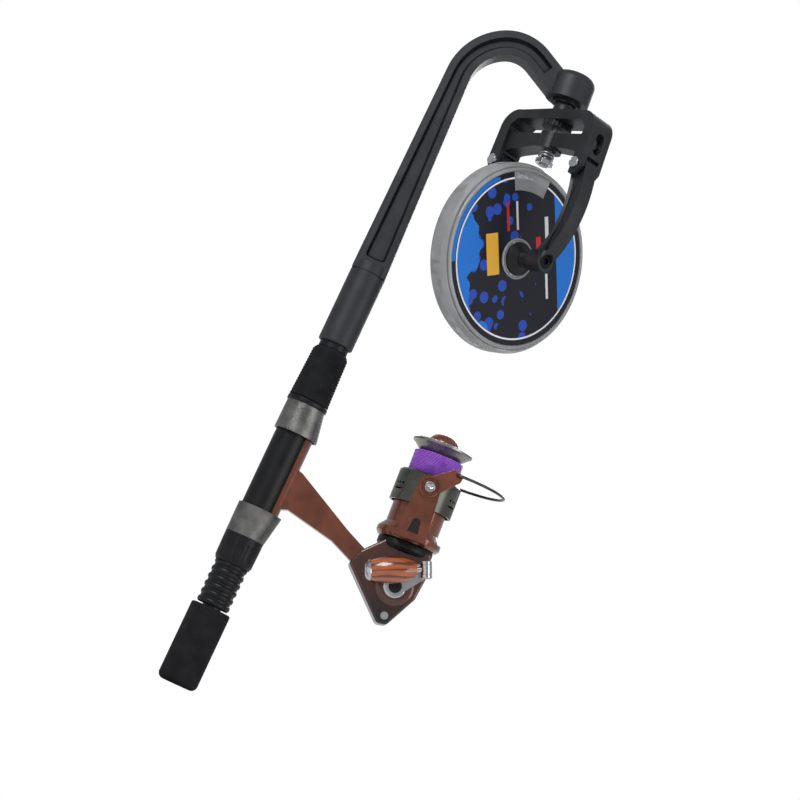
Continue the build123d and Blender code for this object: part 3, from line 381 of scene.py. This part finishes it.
# %% Striped knob finish
def striped_knob():
    material = bpy.data.materials.new("knob_wood")
    material.use_nodes = True
    tree, shader = shader_of(material)
    place = working_frame(
        joints["knob_spin"]["pos_m"], joints["knob_fold"]["axis"], joints["knob_spin"]["axis"]
    )
    point = object_point(tree, place)
    stretched = tree.nodes.new("ShaderNodeMapping")
    stretched.inputs["Scale"].default_value = (1.0, 1.0, 0.16)
    tree.links.new(point, stretched.inputs["Vector"])
    wave = new_node(
        tree, "ShaderNodeTexWave", Scale=75.0, Distortion=7.0, Detail=2.0, Detail_Scale=1.3
    )
    wave.bands_direction = "X"
    tree.links.new(stretched.outputs[0], wave.inputs["Vector"])
    lines = ramp(tree, wave.outputs["Fac"], 0.02, 0.5)
    warm = mix_colour(
        tree, noise(tree, point, 150.0, 3.0, (1.0, 1.0, 0.25)), (0.2, 0.03, 0.006), (0.62, 0.17, 0.03)
    )
    tree.links.new(mix_colour(tree, lines, (0.1, 0.014, 0.004), warm), shader.inputs["Base Color"])
    shader.inputs["Roughness"].default_value = 0.18
    shader.inputs["Coat Weight"].default_value = 1.0
    shader.inputs["Coat Roughness"].default_value = 0.05
    bump(tree, shader, wave.outputs["Fac"], 0.00002)
    return material


knob_wood = striped_knob()

# %% [markdown]
# The bulk spool is smoky clear plastic. It is partly a clear solid and partly a milky one, which is
# what scratches and mould texture do to such a spool.


# %% Clear plastic
def clear_plastic(name, tint, transmission, rough):
    """Smoky plastic with fine turned rings round the spool's axis."""
    material = bpy.data.materials.new(name)
    material.use_nodes = True
    tree, shader = shader_of(material)
    split = tree.nodes.new("ShaderNodeSeparateXYZ")
    tree.links.new(object_point(tree, spool_frame), split.inputs[0])
    ring_rate = 2600.0        # radians of ring per metre along the axis
    rings = math(tree, "SINE", math(tree, "MULTIPLY", split.outputs[2], ring_rate))
    cloud = noise(tree, object_point(tree), 45.0, 2.0)
    paler = tuple(min(1.0, c * 1.25) for c in tint)
    tree.links.new(mix_colour(tree, ramp(tree, cloud, 0.35, 0.65), tint, paler), shader.inputs["Base Color"])
    tree.links.new(
        math(tree, "ADD", math(tree, "MULTIPLY", cloud, 0.1), rough - 0.05), shader.inputs["Roughness"]
    )
    shader.inputs["Transmission Weight"].default_value = transmission
    shader.inputs["IOR"].default_value = 1.49
    bump(tree, shader, rings, 0.00002)
    return material


clear = clear_plastic("clear", (0.5, 0.51, 0.52), 0.6, 0.22)
clear_rim = clear_plastic("clear_rim", (0.4, 0.405, 0.41), 0.4, 0.2)

# %% [markdown]
# The printed disc has a generic design in the real one's colours: a black field, blue drops, a blue
# segment, a thin white ring, a yellow bar and a few red and white bars. All of it is worked out from
# the distance and direction from the spool's axis.


# %% Printed disc
def printed_disc():
    material = bpy.data.materials.new("print")
    material.use_nodes = True
    tree, shader = shader_of(material)
    turned_print = spool_frame @ Matrix.Rotation(radians(30.0), 4, "Z")
    point = object_point(tree, turned_print)
    split = tree.nodes.new("ShaderNodeSeparateXYZ")
    tree.links.new(point, split.inputs[0])
    across, along = split.outputs[0], split.outputs[1]
    radius = math(tree, "SQRT", math(
        tree, "ADD", math(tree, "MULTIPLY", across, across), math(tree, "MULTIPLY", along, along)
    ))

    def inside(value, low, high):
        return math(
            tree, "MULTIPLY", math(tree, "GREATER_THAN", value, low), math(tree, "LESS_THAN", value, high)
        )

    def bar(left, right, bottom, top):
        return math(tree, "MULTIPLY", inside(across, left, right), inside(along, bottom, top))

    field_r, ring_r, ring_outer_r, rim_r = 0.0498, 0.0499, 0.051, 0.0516
    black = (0.008, 0.008, 0.016)
    blue = (0.012, 0.17, 0.62)
    deep_blue = (0.02, 0.07, 0.42)
    ring_white = (0.8, 0.8, 0.82)
    yellow = (0.75, 0.4, 0.045)
    bar_red = (0.55, 0.02, 0.03)
    bar_white = (0.66, 0.66, 0.68)
    field = inside(radius, 0.0, field_r)
    drops = tree.nodes.new("ShaderNodeTexVoronoi")
    drops.inputs["Scale"].default_value = 105.0
    tree.links.new(point, drops.inputs["Vector"])
    wide = noise(tree, point, 38.0, 2.0)
    slant = math(tree, "MULTIPLY", math(tree, "ADD", across, 0.012), -9.0)
    patch = math(tree, "ADD", wide, slant)
    big = math(tree, "GREATER_THAN", patch, 0.66)
    small = math(tree, "MULTIPLY", math(tree, "LESS_THAN", drops.outputs["Distance"], 0.38), math(
        tree, "GREATER_THAN", patch, 0.42
    ))
    colour = mix_colour(tree, math(tree, "MULTIPLY", small, field), black, deep_blue)
    colour = mix_colour(tree, math(tree, "MULTIPLY", big, field), colour, blue)
    segment = math(tree, "MULTIPLY", math(tree, "GREATER_THAN", across, 0.0335), field)
    colour = mix_colour(tree, segment, colour, blue)
    outer = math(tree, "MULTIPLY", inside(radius, rim_r, 0.06), bar(-0.06, -0.012, 0.004, 0.052))
    colour = mix_colour(tree, outer, colour, blue)
    colour = mix_colour(tree, inside(radius, ring_r, ring_outer_r), colour, ring_white)
    colour = mix_colour(tree, bar(-0.0255, -0.0155, -0.008, 0.018), colour, yellow)
    red = math(tree, "MAXIMUM", bar(-0.0075, -0.0055, 0.018, 0.036), bar(0.0165, 0.0205, 0.0, 0.012))
    colour = mix_colour(tree, red, colour, bar_red)
    pale = math(tree, "MAXIMUM", bar(0.0005, 0.0022, 0.018, 0.036), bar(0.0245, 0.0275, 0.006, 0.024))
    pale = math(tree, "MAXIMUM", pale, bar(0.0235, 0.0255, -0.028, -0.012))
    colour = mix_colour(tree, pale, colour, bar_white)
    tree.links.new(colour, shader.inputs["Base Color"])
    shader.inputs["Roughness"].default_value = 0.34
    shader.inputs["Coat Weight"].default_value = 0.12
    shader.inputs["Specular IOR Level"].default_value = 0.3
    bump(tree, shader, noise(tree, point, 1500.0), 0.00001)
    return material


disc_print = printed_disc()

# %% [markdown]
# Some finishes change from place to place on one piece. The reel's spool has a dark skirt and a
# bright lip, the gear case and its cover turn nearly black towards the tail, and the pockets of the
# rotor are painted near black as shade.


# %% Finishes that change along a piece
def reel_spool_finish():
    """Dark metal below the lip and bright metal above, by height over the rotor's base."""
    lip_from, lip_to = 0.0556, 0.0562
    material = finish(
        "spool_metal", (0.075, 0.075, 0.062), (0.125, 0.125, 0.1), 0.3, metallic=0.85, coat=0.4, grain=900.0
    )
    tree, shader = shader_of(material)
    split = tree.nodes.new("ShaderNodeSeparateXYZ")
    tree.links.new(object_point(tree, reel_frame), split.inputs[0])
    lip = ramp(tree, split.outputs[2], lip_from, lip_to)
    was = shader.inputs["Base Color"].links[0].from_socket
    tree.links.new(mix_colour(tree, lip, was, (0.27, 0.262, 0.24)), shader.inputs["Base Color"])
    return material


def case_finish(lacquer, name, low, high):
    """A lacquer that fades from black at a low height to its own colour at a high one."""
    material = lacquer.copy()
    material.name = name
    tree, shader = shader_of(material)
    split = tree.nodes.new("ShaderNodeSeparateXYZ")
    tree.links.new(object_point(tree), split.inputs[0])
    upward = ramp(tree, split.outputs[2], low, high)
    was = shader.inputs["Base Color"].links[0].from_socket
    tree.links.new(mix_colour(tree, upward, (0.006, 0.005, 0.005), was), shader.inputs["Base Color"])
    return material


def rotor_finish_with_painted_shade():
    """Copper lacquer with painted shade, near black, in the pockets of the two rotor arms."""
    material = copper.copy()
    material.name = "rotor_copper"
    tree, shader = shader_of(material)
    split = tree.nodes.new("ShaderNodeSeparateXYZ")
    tree.links.new(object_point(tree, reel_frame), split.inputs[0])
    # Half width, depth range and height range of the rotor's pockets, in metres; they get painted shade.
    pocket_shade_mask = 1.0
    for value, low, high in (
        (math(tree, "ABSOLUTE", split.outputs[0]), -1.0, 0.00335),
        (math(tree, "ABSOLUTE", split.outputs[1]), 0.0209, 0.0242),
        (split.outputs[2], 0.0053, 0.0146),
    ):
        above = math(tree, "GREATER_THAN", value, low)
        within = math(tree, "MULTIPLY", above, math(tree, "LESS_THAN", value, high))
        pocket_shade_mask = math(tree, "MULTIPLY", within, pocket_shade_mask)
    was = shader.inputs["Base Color"].links[0].from_socket
    # The pockets are painted near black: painted shade in the recesses of the rotor arms.
    tree.links.new(mix_colour(tree, pocket_shade_mask, was, (0.012, 0.012, 0.009)), shader.inputs["Base Color"])
    return material


rotor_copper = rotor_finish_with_painted_shade()
spool_metal = reel_spool_finish()
case_copper = case_finish(copper, "case_copper", 0.0875, 0.1)
cover_copper = case_finish(cover_brown, "cover_copper", 0.0865, 0.108)

# %% [markdown]
# The line is a braid: in the window of the bulk spool it is grey, on the reel violet. Fine dark and
# light bands across the turns paint the shade between the turns and the highlights on them.


# %% Line finishes
def braid(name, dark, light, place, pitch):
    """Line wound about a working frame's axis, with painted shade and highlight bands that a noise makes
    uneven.
    """
    material = finish(name, dark, light, 0.36, grain=1400.0, depth=0.00006)
    tree, shader = shader_of(material)
    point = object_point(tree, place)
    split = tree.nodes.new("ShaderNodeSeparateXYZ")
    tree.links.new(point, split.inputs[0])
    wander = math(tree, "MULTIPLY", noise(tree, point, 130.0, 2.0), 9.0)
    turns = math(tree, "ADD", math(tree, "MULTIPLY", split.outputs[2], 2 * pi / pitch), wander)
    # Dark bands are painted shade between the turns and light bands are painted highlight on them.
    painted_strand_shade = ramp(tree, math(tree, "SINE", turns), -1.0, 0.7)
    shade = mix_colour(tree, painted_strand_shade, dark, light)
    tree.links.new(shade, shader.inputs["Base Color"])
    shader.inputs["Sheen Weight"].default_value = 0.1
    return material


violet_line = braid("violet_line", (0.09, 0.012, 0.33), (0.55, 0.17, 0.92), reel_frame, 0.00085)
grey_line = braid("grey_line", (0.22, 0.22, 0.23), (0.5, 0.5, 0.5), spool_frame, 0.0009)

# %% [markdown]
# ## Soft edges
# A solid model has knife edges, and no moulded or polished piece does. Each piece that shows is
# copied, its loose triangles are merged into whole faces, and a narrow bevel rounds its edges.


# %% Bevelled copies of the solids
def edit(piece):
    """Select one piece alone and enter edit mode with all of it selected."""
    bpy.ops.object.select_all(action="DESELECT")
    piece.select_set(True)
    bpy.context.view_layer.objects.active = piece
    bpy.ops.object.mode_set(mode="EDIT")
    bpy.ops.mesh.select_mode(type="VERT")
    bpy.ops.mesh.select_all(action="SELECT")


def leave_edit(smooth_angle=35.0):
    bpy.ops.object.mode_set(mode="OBJECT")
    bpy.ops.object.shade_smooth_by_angle(angle=radians(smooth_angle))


def merged_copy(node, name):
    """A copy of a solid with its triangles joined into whole faces."""
    piece = nodes[node].copy()
    piece.data = nodes[node].data.copy()
    piece.name = name
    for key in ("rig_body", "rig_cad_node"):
        if key in piece:
            del piece[key]
    piece.parent = None
    bpy.context.scene.collection.objects.link(piece)
    edit(piece)
    bpy.ops.mesh.remove_doubles(threshold=1e-6)
    bpy.ops.mesh.dissolve_limited(angle_limit=radians(0.6))
    leave_edit()
    return piece


def apply_bevel(piece, width, segments=3, angle=32.0):
    rounding = piece.modifiers.new("rounding", "BEVEL")
    rounding.width = width
    rounding.segments = segments
    rounding.limit_method = "ANGLE"
    rounding.angle_limit = radians(angle)
    rounding.harden_normals = True
    bpy.ops.object.modifier_apply(modifier=rounding.name)
    bpy.ops.object.shade_smooth_by_angle(angle=radians(38.0))


def dress(piece, material, slot, body, *replaced):
    """Give a finished piece its finish, its body and the solids that it stands for."""
    piece.data.materials.clear()
    piece.data.materials.append(material)
    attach(piece, body)
    if replaced:
        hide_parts(*replaced)


def softened(node, width, material, slot):
    """A rounded copy of a solid, which stands for that solid."""
    piece = merged_copy(node, node + "_rounded")
    apply_bevel(piece, width)
    dress(piece, material, slot, body_of_node[node], node)
    return piece


rounded_solids = (
    ("gooseneck", 0.7, arm_plastic, "arm_plastic"),
    ("arm_collar", 0.4, arm_plastic, "arm_plastic"),
    ("yoke", 0.8, fork_plastic, "arm_plastic"),
    ("lower_bridge", 0.6, fork_plastic, "arm_plastic"),
    ("front_arm", 1.1, fork_plastic, "arm_plastic"),
    ("rear_arm", 1.1, fork_plastic, "arm_plastic"),
    ("tension_wheel", 0.25, cone_black, "arm_plastic"),
    ("front_cone", 0.3, cone_black, "cone_plastic"),
    ("rear_cone", 0.3, cone_black, "cone_plastic"),
    ("reel_case", 1.9, case_copper, "copper"),
    ("side_cover", 0.25, cover_copper, "cover_brown"),
    ("rotor", 0.5, rotor_copper, "copper"),
    ("front_lever", 0.8, copper, "copper"),
    ("rear_lever", 0.8, copper, "copper"),
    ("crank_arm", 0.6, chrome, "chrome"),
    ("crank_bearing", 0.25, chrome, "chrome"),
    ("sliding_hood", 0.25, hood_metal, "hood_metal"),
    ("fixed_hood", 0.25, hood_metal, "hood_metal"),
    ("seat_nut", 0.2, seat_black, "seat_black"),
    ("trim_ring", 0.3, seat_black, "seat_black"),
    ("spool_band", 0.35, clear_rim, "clear"),
    ("end_nut", 0.3, chrome, "chrome"),
)
rounded = {
    node: softened(node, width * mm, material, slot) for node, width, material, slot in rounded_solids
}
print("rounded", len(rounded), "solids")

# %% [markdown]
# The gooseneck and the fork's two arms are ribbed mouldings. Their large flat faces get a border and
# are raised or pressed in within it. The faces are found by the way they look and by their size.


# %% Panels of the gooseneck and the fork's arms
def press_panels(piece, border, depth, chosen):
    """Inset the chosen flat faces by a border and press them in by a depth."""
    bpy.ops.object.select_all(action="DESELECT")
    piece.select_set(True)
    bpy.context.view_layer.objects.active = piece
    mesh = piece.data
    for element in (*mesh.vertices, *mesh.edges):
        element.select = False
    count = 0
    for polygon in mesh.polygons:
        polygon.select = bool(chosen(polygon))
        count += polygon.select
    bpy.ops.object.mode_set(mode="EDIT")
    bpy.ops.mesh.select_mode(type="FACE")
    bpy.ops.mesh.inset(thickness=border, depth=-depth, use_even_offset=True)
    leave_edit(38.0)
    print(piece.name, "panels", count)


panel_border, arm_panel_depth, web_panel_rise = 0.0016, 0.0011, 0.0009
arm_face_area, web_face_area = 6e-5, 4e-4    # the smallest faces that get a panel
squarely = 0.999              # how straight across its piece such a face has to look
web_reach = 0.005             # the gooseneck's web lies this near its middle plane

for arm_name in ("front_arm", "rear_arm"):
    press_panels(
        rounded[arm_name], panel_border, arm_panel_depth,
        lambda face: abs(face.normal.dot(fork_across)) > squarely and face.area > arm_face_area,
    )
press_panels(
    rounded["gooseneck"], panel_border, -web_panel_rise,
    lambda face: (
        abs(face.normal.y) > squarely and face.area > web_face_area and abs(face.center.y) < web_reach
    ),
)

# %% Finishes on the solids that stay as they are
kept_solids = {
    foam: ("butt_grip",),
    seat_black: ("reel_seat", "spigot"),
    tube_black: ("rod_blank",),
    steel: ("spindle", "hinge_pin", "main_shaft", "crank_shaft", "roller_pin", "clamp_spring"),
    axle_black: ("front_axle", "rear_axle"),
    chrome: ("bridge_screws", "cover_screws", "knob_spindle", "line_roller"),
    cone_black: ("swivel_washer",),
    wire_steel: ("bail_wire",),
    clear: ("line_spool",),
    disc_print: ("front_label", "rear_label"),
    grey_line: ("line_pack",),
    copper: ("drag_knob",),
    brass: ("drive_gear", "pinion"),
    knob_wood: ("knob",),
}
for material, members in kept_solids.items():
    for node in members:
        nodes[node].data.materials.clear()
        nodes[node].data.materials.append(material)

# %% [markdown]
# ## Turned pieces
# A turned piece is one ring that is pulled along its axis and made wider or narrower at each
# station, just as a lathe tool would leave it. The list of stations is radius and height.


# %% A lathe made of extrusions
def turned(name, stations, place, sides=72, close_ends=True):
    """Pull a ring through stations of (radius, height), in a working frame, in metres."""
    first_r, first_z = stations[0]
    bpy.ops.object.select_all(action="DESELECT")
    bpy.ops.mesh.primitive_circle_add(
        vertices=sides, radius=first_r, fill_type="NGON" if close_ends else "NOTHING"
    )
    piece = bpy.context.object
    piece.name = name
    edit(piece)
    bpy.ops.transform.translate(value=(0, 0, first_z))
    radius, height = first_r, first_z
    for next_r, next_z in stations[1:]:
        bpy.ops.mesh.extrude_region_move(TRANSFORM_OT_translate={"value": (0, 0, next_z - height)})
        scale = next_r / radius
        bpy.ops.transform.resize(value=(scale, scale, 1), center_override=(0, 0, next_z))
        radius, height = next_r, next_z
    bpy.ops.mesh.select_all(action="SELECT")
    bpy.ops.mesh.remove_doubles(threshold=1e-7)
    bpy.ops.mesh.normals_make_consistent(inside=False)
    leave_edit()
    piece.matrix_world = place
    bpy.ops.object.transform_apply(location=True, rotation=True, scale=True)
    return piece


# %% [markdown]
# The foregrip is foam with fine turned ribs over its whole length. It takes the place of the plain
# tapered solid and keeps inside it.


# %% Foregrip ribs
def foregrip_stations():
    taper = 0.89              # top radius over bottom radius
    rib_count, rib_depth = 17, 0.00028
    first_rib, ribbed_share = 0.02, 0.9
    low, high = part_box("foregrip")
    bottom_r = (high.x - low.x) / 2
    top_r = bottom_r * taper
    length = high.z - low.z
    yield bottom_r - 0.0008, low.z
    yield bottom_r, low.z + 0.0006
    for rib in range(rib_count):
        for share, sunk in ((0.25, 0.0), (0.6, 0.0), (0.75, 1.0), (0.95, 1.0)):
            done = (rib + share) / rib_count * ribbed_share + first_rib
            yield bottom_r + (top_r - bottom_r) * done - sunk * rib_depth, low.z + done * length
    yield top_r - 0.0012, high.z - 0.0012
    yield top_r - 0.0026, high.z


foregrip_ribbed = turned("foregrip_ribbed", list(foregrip_stations()), handle_frame)
dress(foregrip_ribbed, foam, "foam", "rod", "foregrip")

# %% [markdown]
# The clear spool has a raised lip on each flange, outside the printed disc, and a short clear hub
# ring round the cone. They catch the light as bright edge lines.


# %% Lips and hub rings of the bulk spool
flange_face = 8.0 * mm
for side, word in ((1, "front"), (-1, "rear")):
    face = spool_frame @ Matrix.Diagonal((1, 1, side, 1))
    lip = turned(
        word + "_lip",
        [(0.0548, flange_face), (0.0549, flange_face + 0.0009), (0.0555, flange_face + 0.0011),
         (0.0564, flange_face + 0.0008), (0.0568, flange_face), (0.0566, flange_face - 0.0006),
         (0.055, flange_face - 0.0006), (0.0548, flange_face)],
        face, 120, close_ends=False,
    )
    dress(lip, clear_rim, "clear", "line_spool")
    hub = turned(
        word + "_hub_ring",
        [(0.0116, flange_face), (0.0116, flange_face + 0.0009), (0.0121, flange_face + 0.0012),
         (0.0127, flange_face + 0.0009), (0.0129, flange_face), (0.0116, flange_face)],
        face, 96, close_ends=False,
    )
    dress(hub, clear_rim, "clear", "line_spool")

# %% [markdown]
# ## Line on the reel
# The violet line fills the spool in close turns that cross a little from layer to layer. A plain
# core carries one long strand, which is swept from a curve whose points come from a loop.


# %% Wound line
def wound_line():
    low_level, high_level = 0.0440, 0.0568
    core_r, strand_r = 0.0149, 0.00022
    turns, steps, passes = 46, 36, 3.0
    curve = bpy.data.curves.new("reel_winding", "CURVE")
    curve.dimensions = "3D"
    curve.bevel_depth = strand_r
    curve.bevel_resolution = 1
    spline = curve.splines.new("POLY")
    count = turns * steps
    spline.points.add(count)
    for index in range(count + 1):
        turn = index / steps
        # Each pass runs up or down the drum and lies a little further out than the last.
        sweep = (turn / turns * passes) % 2.0
        share = sweep if sweep <= 1.0 else 2.0 - sweep
        layer = int(turn / turns * passes)
        radius = core_r + strand_r * (1.0 + 1.1 * min(layer, 2)) + 0.00008 * sin(turn * 2.4)
        angle = 2 * pi * turn
        spline.points[index].co = (
            radius * cos(angle), radius * sin(angle), low_level + (high_level - low_level) * share, 1
        )
    winding = bpy.data.objects.new("reel_winding", curve)
    bpy.context.scene.collection.objects.link(winding)
    bpy.ops.object.select_all(action="DESELECT")
    winding.select_set(True)
    bpy.context.view_layer.objects.active = winding
    bpy.ops.object.convert(target="MESH")
    winding = bpy.context.object
    winding.matrix_world = reel_frame
    bpy.ops.object.transform_apply(location=True, rotation=True, scale=True)
    bpy.ops.object.shade_smooth()
    return winding


winding = wound_line()
dress(winding, violet_line, "violet_line", "reel_spool", "reel_line")
line_core = turned(
    "line_core",
    [(0.0128, 0.0437), (0.0148, 0.0438), (0.015, 0.0446), (0.015, 0.0562), (0.0148, 0.0569),
     (0.0128, 0.057)],
    reel_frame,
)
dress(line_core, violet_line, "violet_line", "reel_spool", "reel_pack")
print("wound line has", len(winding.data.polygons), "faces")

# %% [markdown]
# ## Reel details
# The skirt of the reel's spool is pierced by groups of three round holes over a slot. The cutters
# are modelled once, copied round the axis and taken out of the skirt with a Boolean.


# %% Pierced skirt
def cut_away(piece, cutters):
    """Join the cutters and take them out of a piece."""
    bpy.ops.object.select_all(action="DESELECT")
    for cutter in cutters:
        cutter.select_set(True)
    bpy.context.view_layer.objects.active = cutters[0]
    if len(cutters) > 1:
        bpy.ops.object.join()
    tool = bpy.context.object
    bpy.ops.object.transform_apply(location=True, rotation=True, scale=True)
    bpy.ops.object.select_all(action="DESELECT")
    piece.select_set(True)
    bpy.context.view_layer.objects.active = piece
    cut = piece.modifiers.new("cut", "BOOLEAN")
    cut.operation = "DIFFERENCE"
    cut.solver = "EXACT"
    cut.object = tool
    bpy.ops.object.modifier_apply(modifier=cut.name)
    bpy.data.objects.remove(tool)


def ring_of_holes(piece):
    """Cut six groups of three holes and a slot through the skirt."""
    cutters = []
    groups, hole_r, reach = 6, 0.0009, 0.004
    skirt_r, hole_level, slot_level = 0.0195, 0.0331, 0.0296
    for group in range(groups):
        for step in (-1, 0, 1):
            angle = 2 * pi * (group + 0.5) / groups + step * 0.16
            cutters.append((angle, hole_level, (hole_r, hole_r, reach)))
        cutters.append((2 * pi * (group + 0.5) / groups, slot_level, (0.0007, 0.0042, reach)))
    made = []
    for angle, level, (half_up, half_round, half_in) in cutters:
        bpy.ops.object.select_all(action="DESELECT")
        bpy.ops.mesh.primitive_cylinder_add(vertices=20, radius=1, depth=2)
        cutter = bpy.context.object
        turn = Matrix.Rotation(angle, 4, "Z") @ Matrix.Translation((skirt_r, 0, level))
        lay = Matrix.Rotation(radians(90), 4, "Y")
        cutter.matrix_world = reel_frame @ turn @ lay @ Matrix.Diagonal((half_up, half_round, half_in, 1))
        made.append(cutter)
    cut_away(piece, made)


pierced_spool = merged_copy("reel_spool", "reel_spool_pierced")
ring_of_holes(pierced_spool)
apply_bevel(pierced_spool, 0.0002, 2, 40.0)
dress(pierced_spool, spool_metal, "spool_metal", "reel_spool", "reel_spool")

# %% [markdown]
# A black ring of painted shade fills the gap between the gear case and the rotor, and each bail
# pivot has a raised rim round its screw.


# %% Painted shade ring and pivot rims
# A black ring under the rotor is painted shade: the gap between case and rotor lies in shadow.
gap_shade_ring = turned(
    "rotor_gap_shade_ring",
    [(0.009, -0.0075), (0.0165, -0.0062), (0.0178, -0.0045), (0.0178, -0.0012), (0.0172, -0.0003),
     (0.009, -0.0003)],
    reel_frame,
)
dress(gap_shade_ring, seat_black, "seat_black", "rod")

bail_pivot = Vector(joints["bail_open"]["pos_m"])
for side, word in ((-1, "front"), (1, "rear")):
    lever_low, lever_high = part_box(word + "_lever")
    outer = (lever_low.y if side < 0 else lever_high.y)
    place = working_frame(
        Vector((bail_pivot.x, outer, bail_pivot.z)), (1, 0, 0), (0, side, 0)
    )
    rim = turned(
        word + "_pivot_rim",
        [(0.0062, -0.0008), (0.0062, 0.001), (0.0058, 0.0015), (0.0052, 0.0015), (0.0048, 0.001),
         (0.0047, 0.0005), (0.0042, 0.0004), (0.004, 0.0001), (0.0039, -0.0008), (0.0062, -0.0008)],
        place, 64, close_ends=False,
    )
    dress(rim, copper, "copper", "bail")
print("bail pivot at", tuple(round(c, 4) for c in bail_pivot))

# %% [markdown]
# The two bail screws have cross recesses and the fork's two pivot screws have slots.


# %% Recesses of the screws
def slot_cutter(place, half_long, half_wide, depth):
    bpy.ops.object.select_all(action="DESELECT")
    bpy.ops.mesh.primitive_cube_add(size=2)
    cutter = bpy.context.object
    cutter.matrix_world = place @ Matrix.Diagonal((half_long, half_wide, depth, 1))
    return cutter


def slotted_screws(node, places, half_long, half_wide, depth, crossed):
    """Cut one slot, or two crossed ones, into the head of a screw at each place."""
    piece = merged_copy(node, node + "_slotted")
    apply_bevel(piece, 0.0003, 3, 40.0)
    for angle in (20.0, 110.0) if crossed else (25.0,):
        turn = Matrix.Rotation(radians(angle), 4, "Z")
        for place in places:
            cut_away(piece, [slot_cutter(place @ turn, half_long, half_wide, depth)])
    bpy.ops.object.shade_smooth_by_angle(angle=radians(38.0))
    dress(piece, chrome, "chrome", body_of_node[node], node)


screw_low, screw_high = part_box("bail_screws")
slotted_screws(
    "bail_screws",
    [working_frame((bail_pivot.x, y, bail_pivot.z), (1, 0, 0), (0, side, 0))
     for y, side in ((screw_low.y, -1), (screw_high.y, 1))],
    half_long=0.002, half_wide=0.00042, depth=0.0009, crossed=True,
)
pivots = [Vector(joints[name]["pos_m"]) for name in ("front_arm_swing", "rear_arm_swing")]
head_reach = 0.011            # a pivot screw's end from the middle of its arm
slotted_screws(
    "pivot_screws",
    [working_frame(pivot - fork_across * side * head_reach, spool_axis, fork_across * side)
     for pivot in pivots for side in (1, -1)],
    half_long=0.005, half_wide=0.0004, depth=0.0009, crossed=False,
)

# %% [markdown]
# The side cover has a low round step about the crank's bearing. The crank's hub has a dark cap in it.


# %% Cover step and hub cap
cover_low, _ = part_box("side_cover")
crank_pivot = Vector(joints["crank_turn"]["pos_m"])
cover_step = turned(
    "cover_step",
    [(0.0068, -0.0006), (0.0118, -0.0006), (0.0116, 0.0004), (0.0104, 0.001), (0.0068, 0.001)],
    working_frame((crank_pivot.x, cover_low.y, crank_pivot.z), (1, 0, 0), (0, -1, 0)), 96,
)
dress(cover_step, cover_brown, "cover_brown", "rod")
hub_behind_hinge = 0.0088     # the crank hub's outer face, measured back from the knob's hinge
hub_face = Vector(joints["knob_fold"]["pos_m"]).y + hub_behind_hinge
hub_cap = turned(
    "hub_cap",
    [(0.001, -0.0006), (0.0041, -0.0006), (0.0041, 0.0001), (0.0037, 0.0003), (0.001, 0.0003)],
    working_frame((crank_pivot.x, hub_face, crank_pivot.z), (1, 0, 0), (0, -1, 0)), 48,
)
dress(hub_cap, seat_black, "seat_black", "crank")

# %% [markdown]
# The knob has a bright metal cap at its free end.


# %% Knob cap
knob_frame = working_frame(
    joints["knob_fold"]["pos_m"], joints["knob_fold"]["axis"], joints["knob_spin"]["axis"]
)
knob_cap = turned(
    "knob_cap",
    [(0.0019, 0.0334), (0.0064, 0.0334), (0.0066, 0.0338), (0.0061, 0.035), (0.005, 0.0362),
     (0.0036, 0.0369), (0.0019, 0.0371)],
    knob_frame, 64,
)
dress(knob_cap, chrome, "chrome", "knob")

# %% [markdown]
# ## A last import

# %% Import json
import json
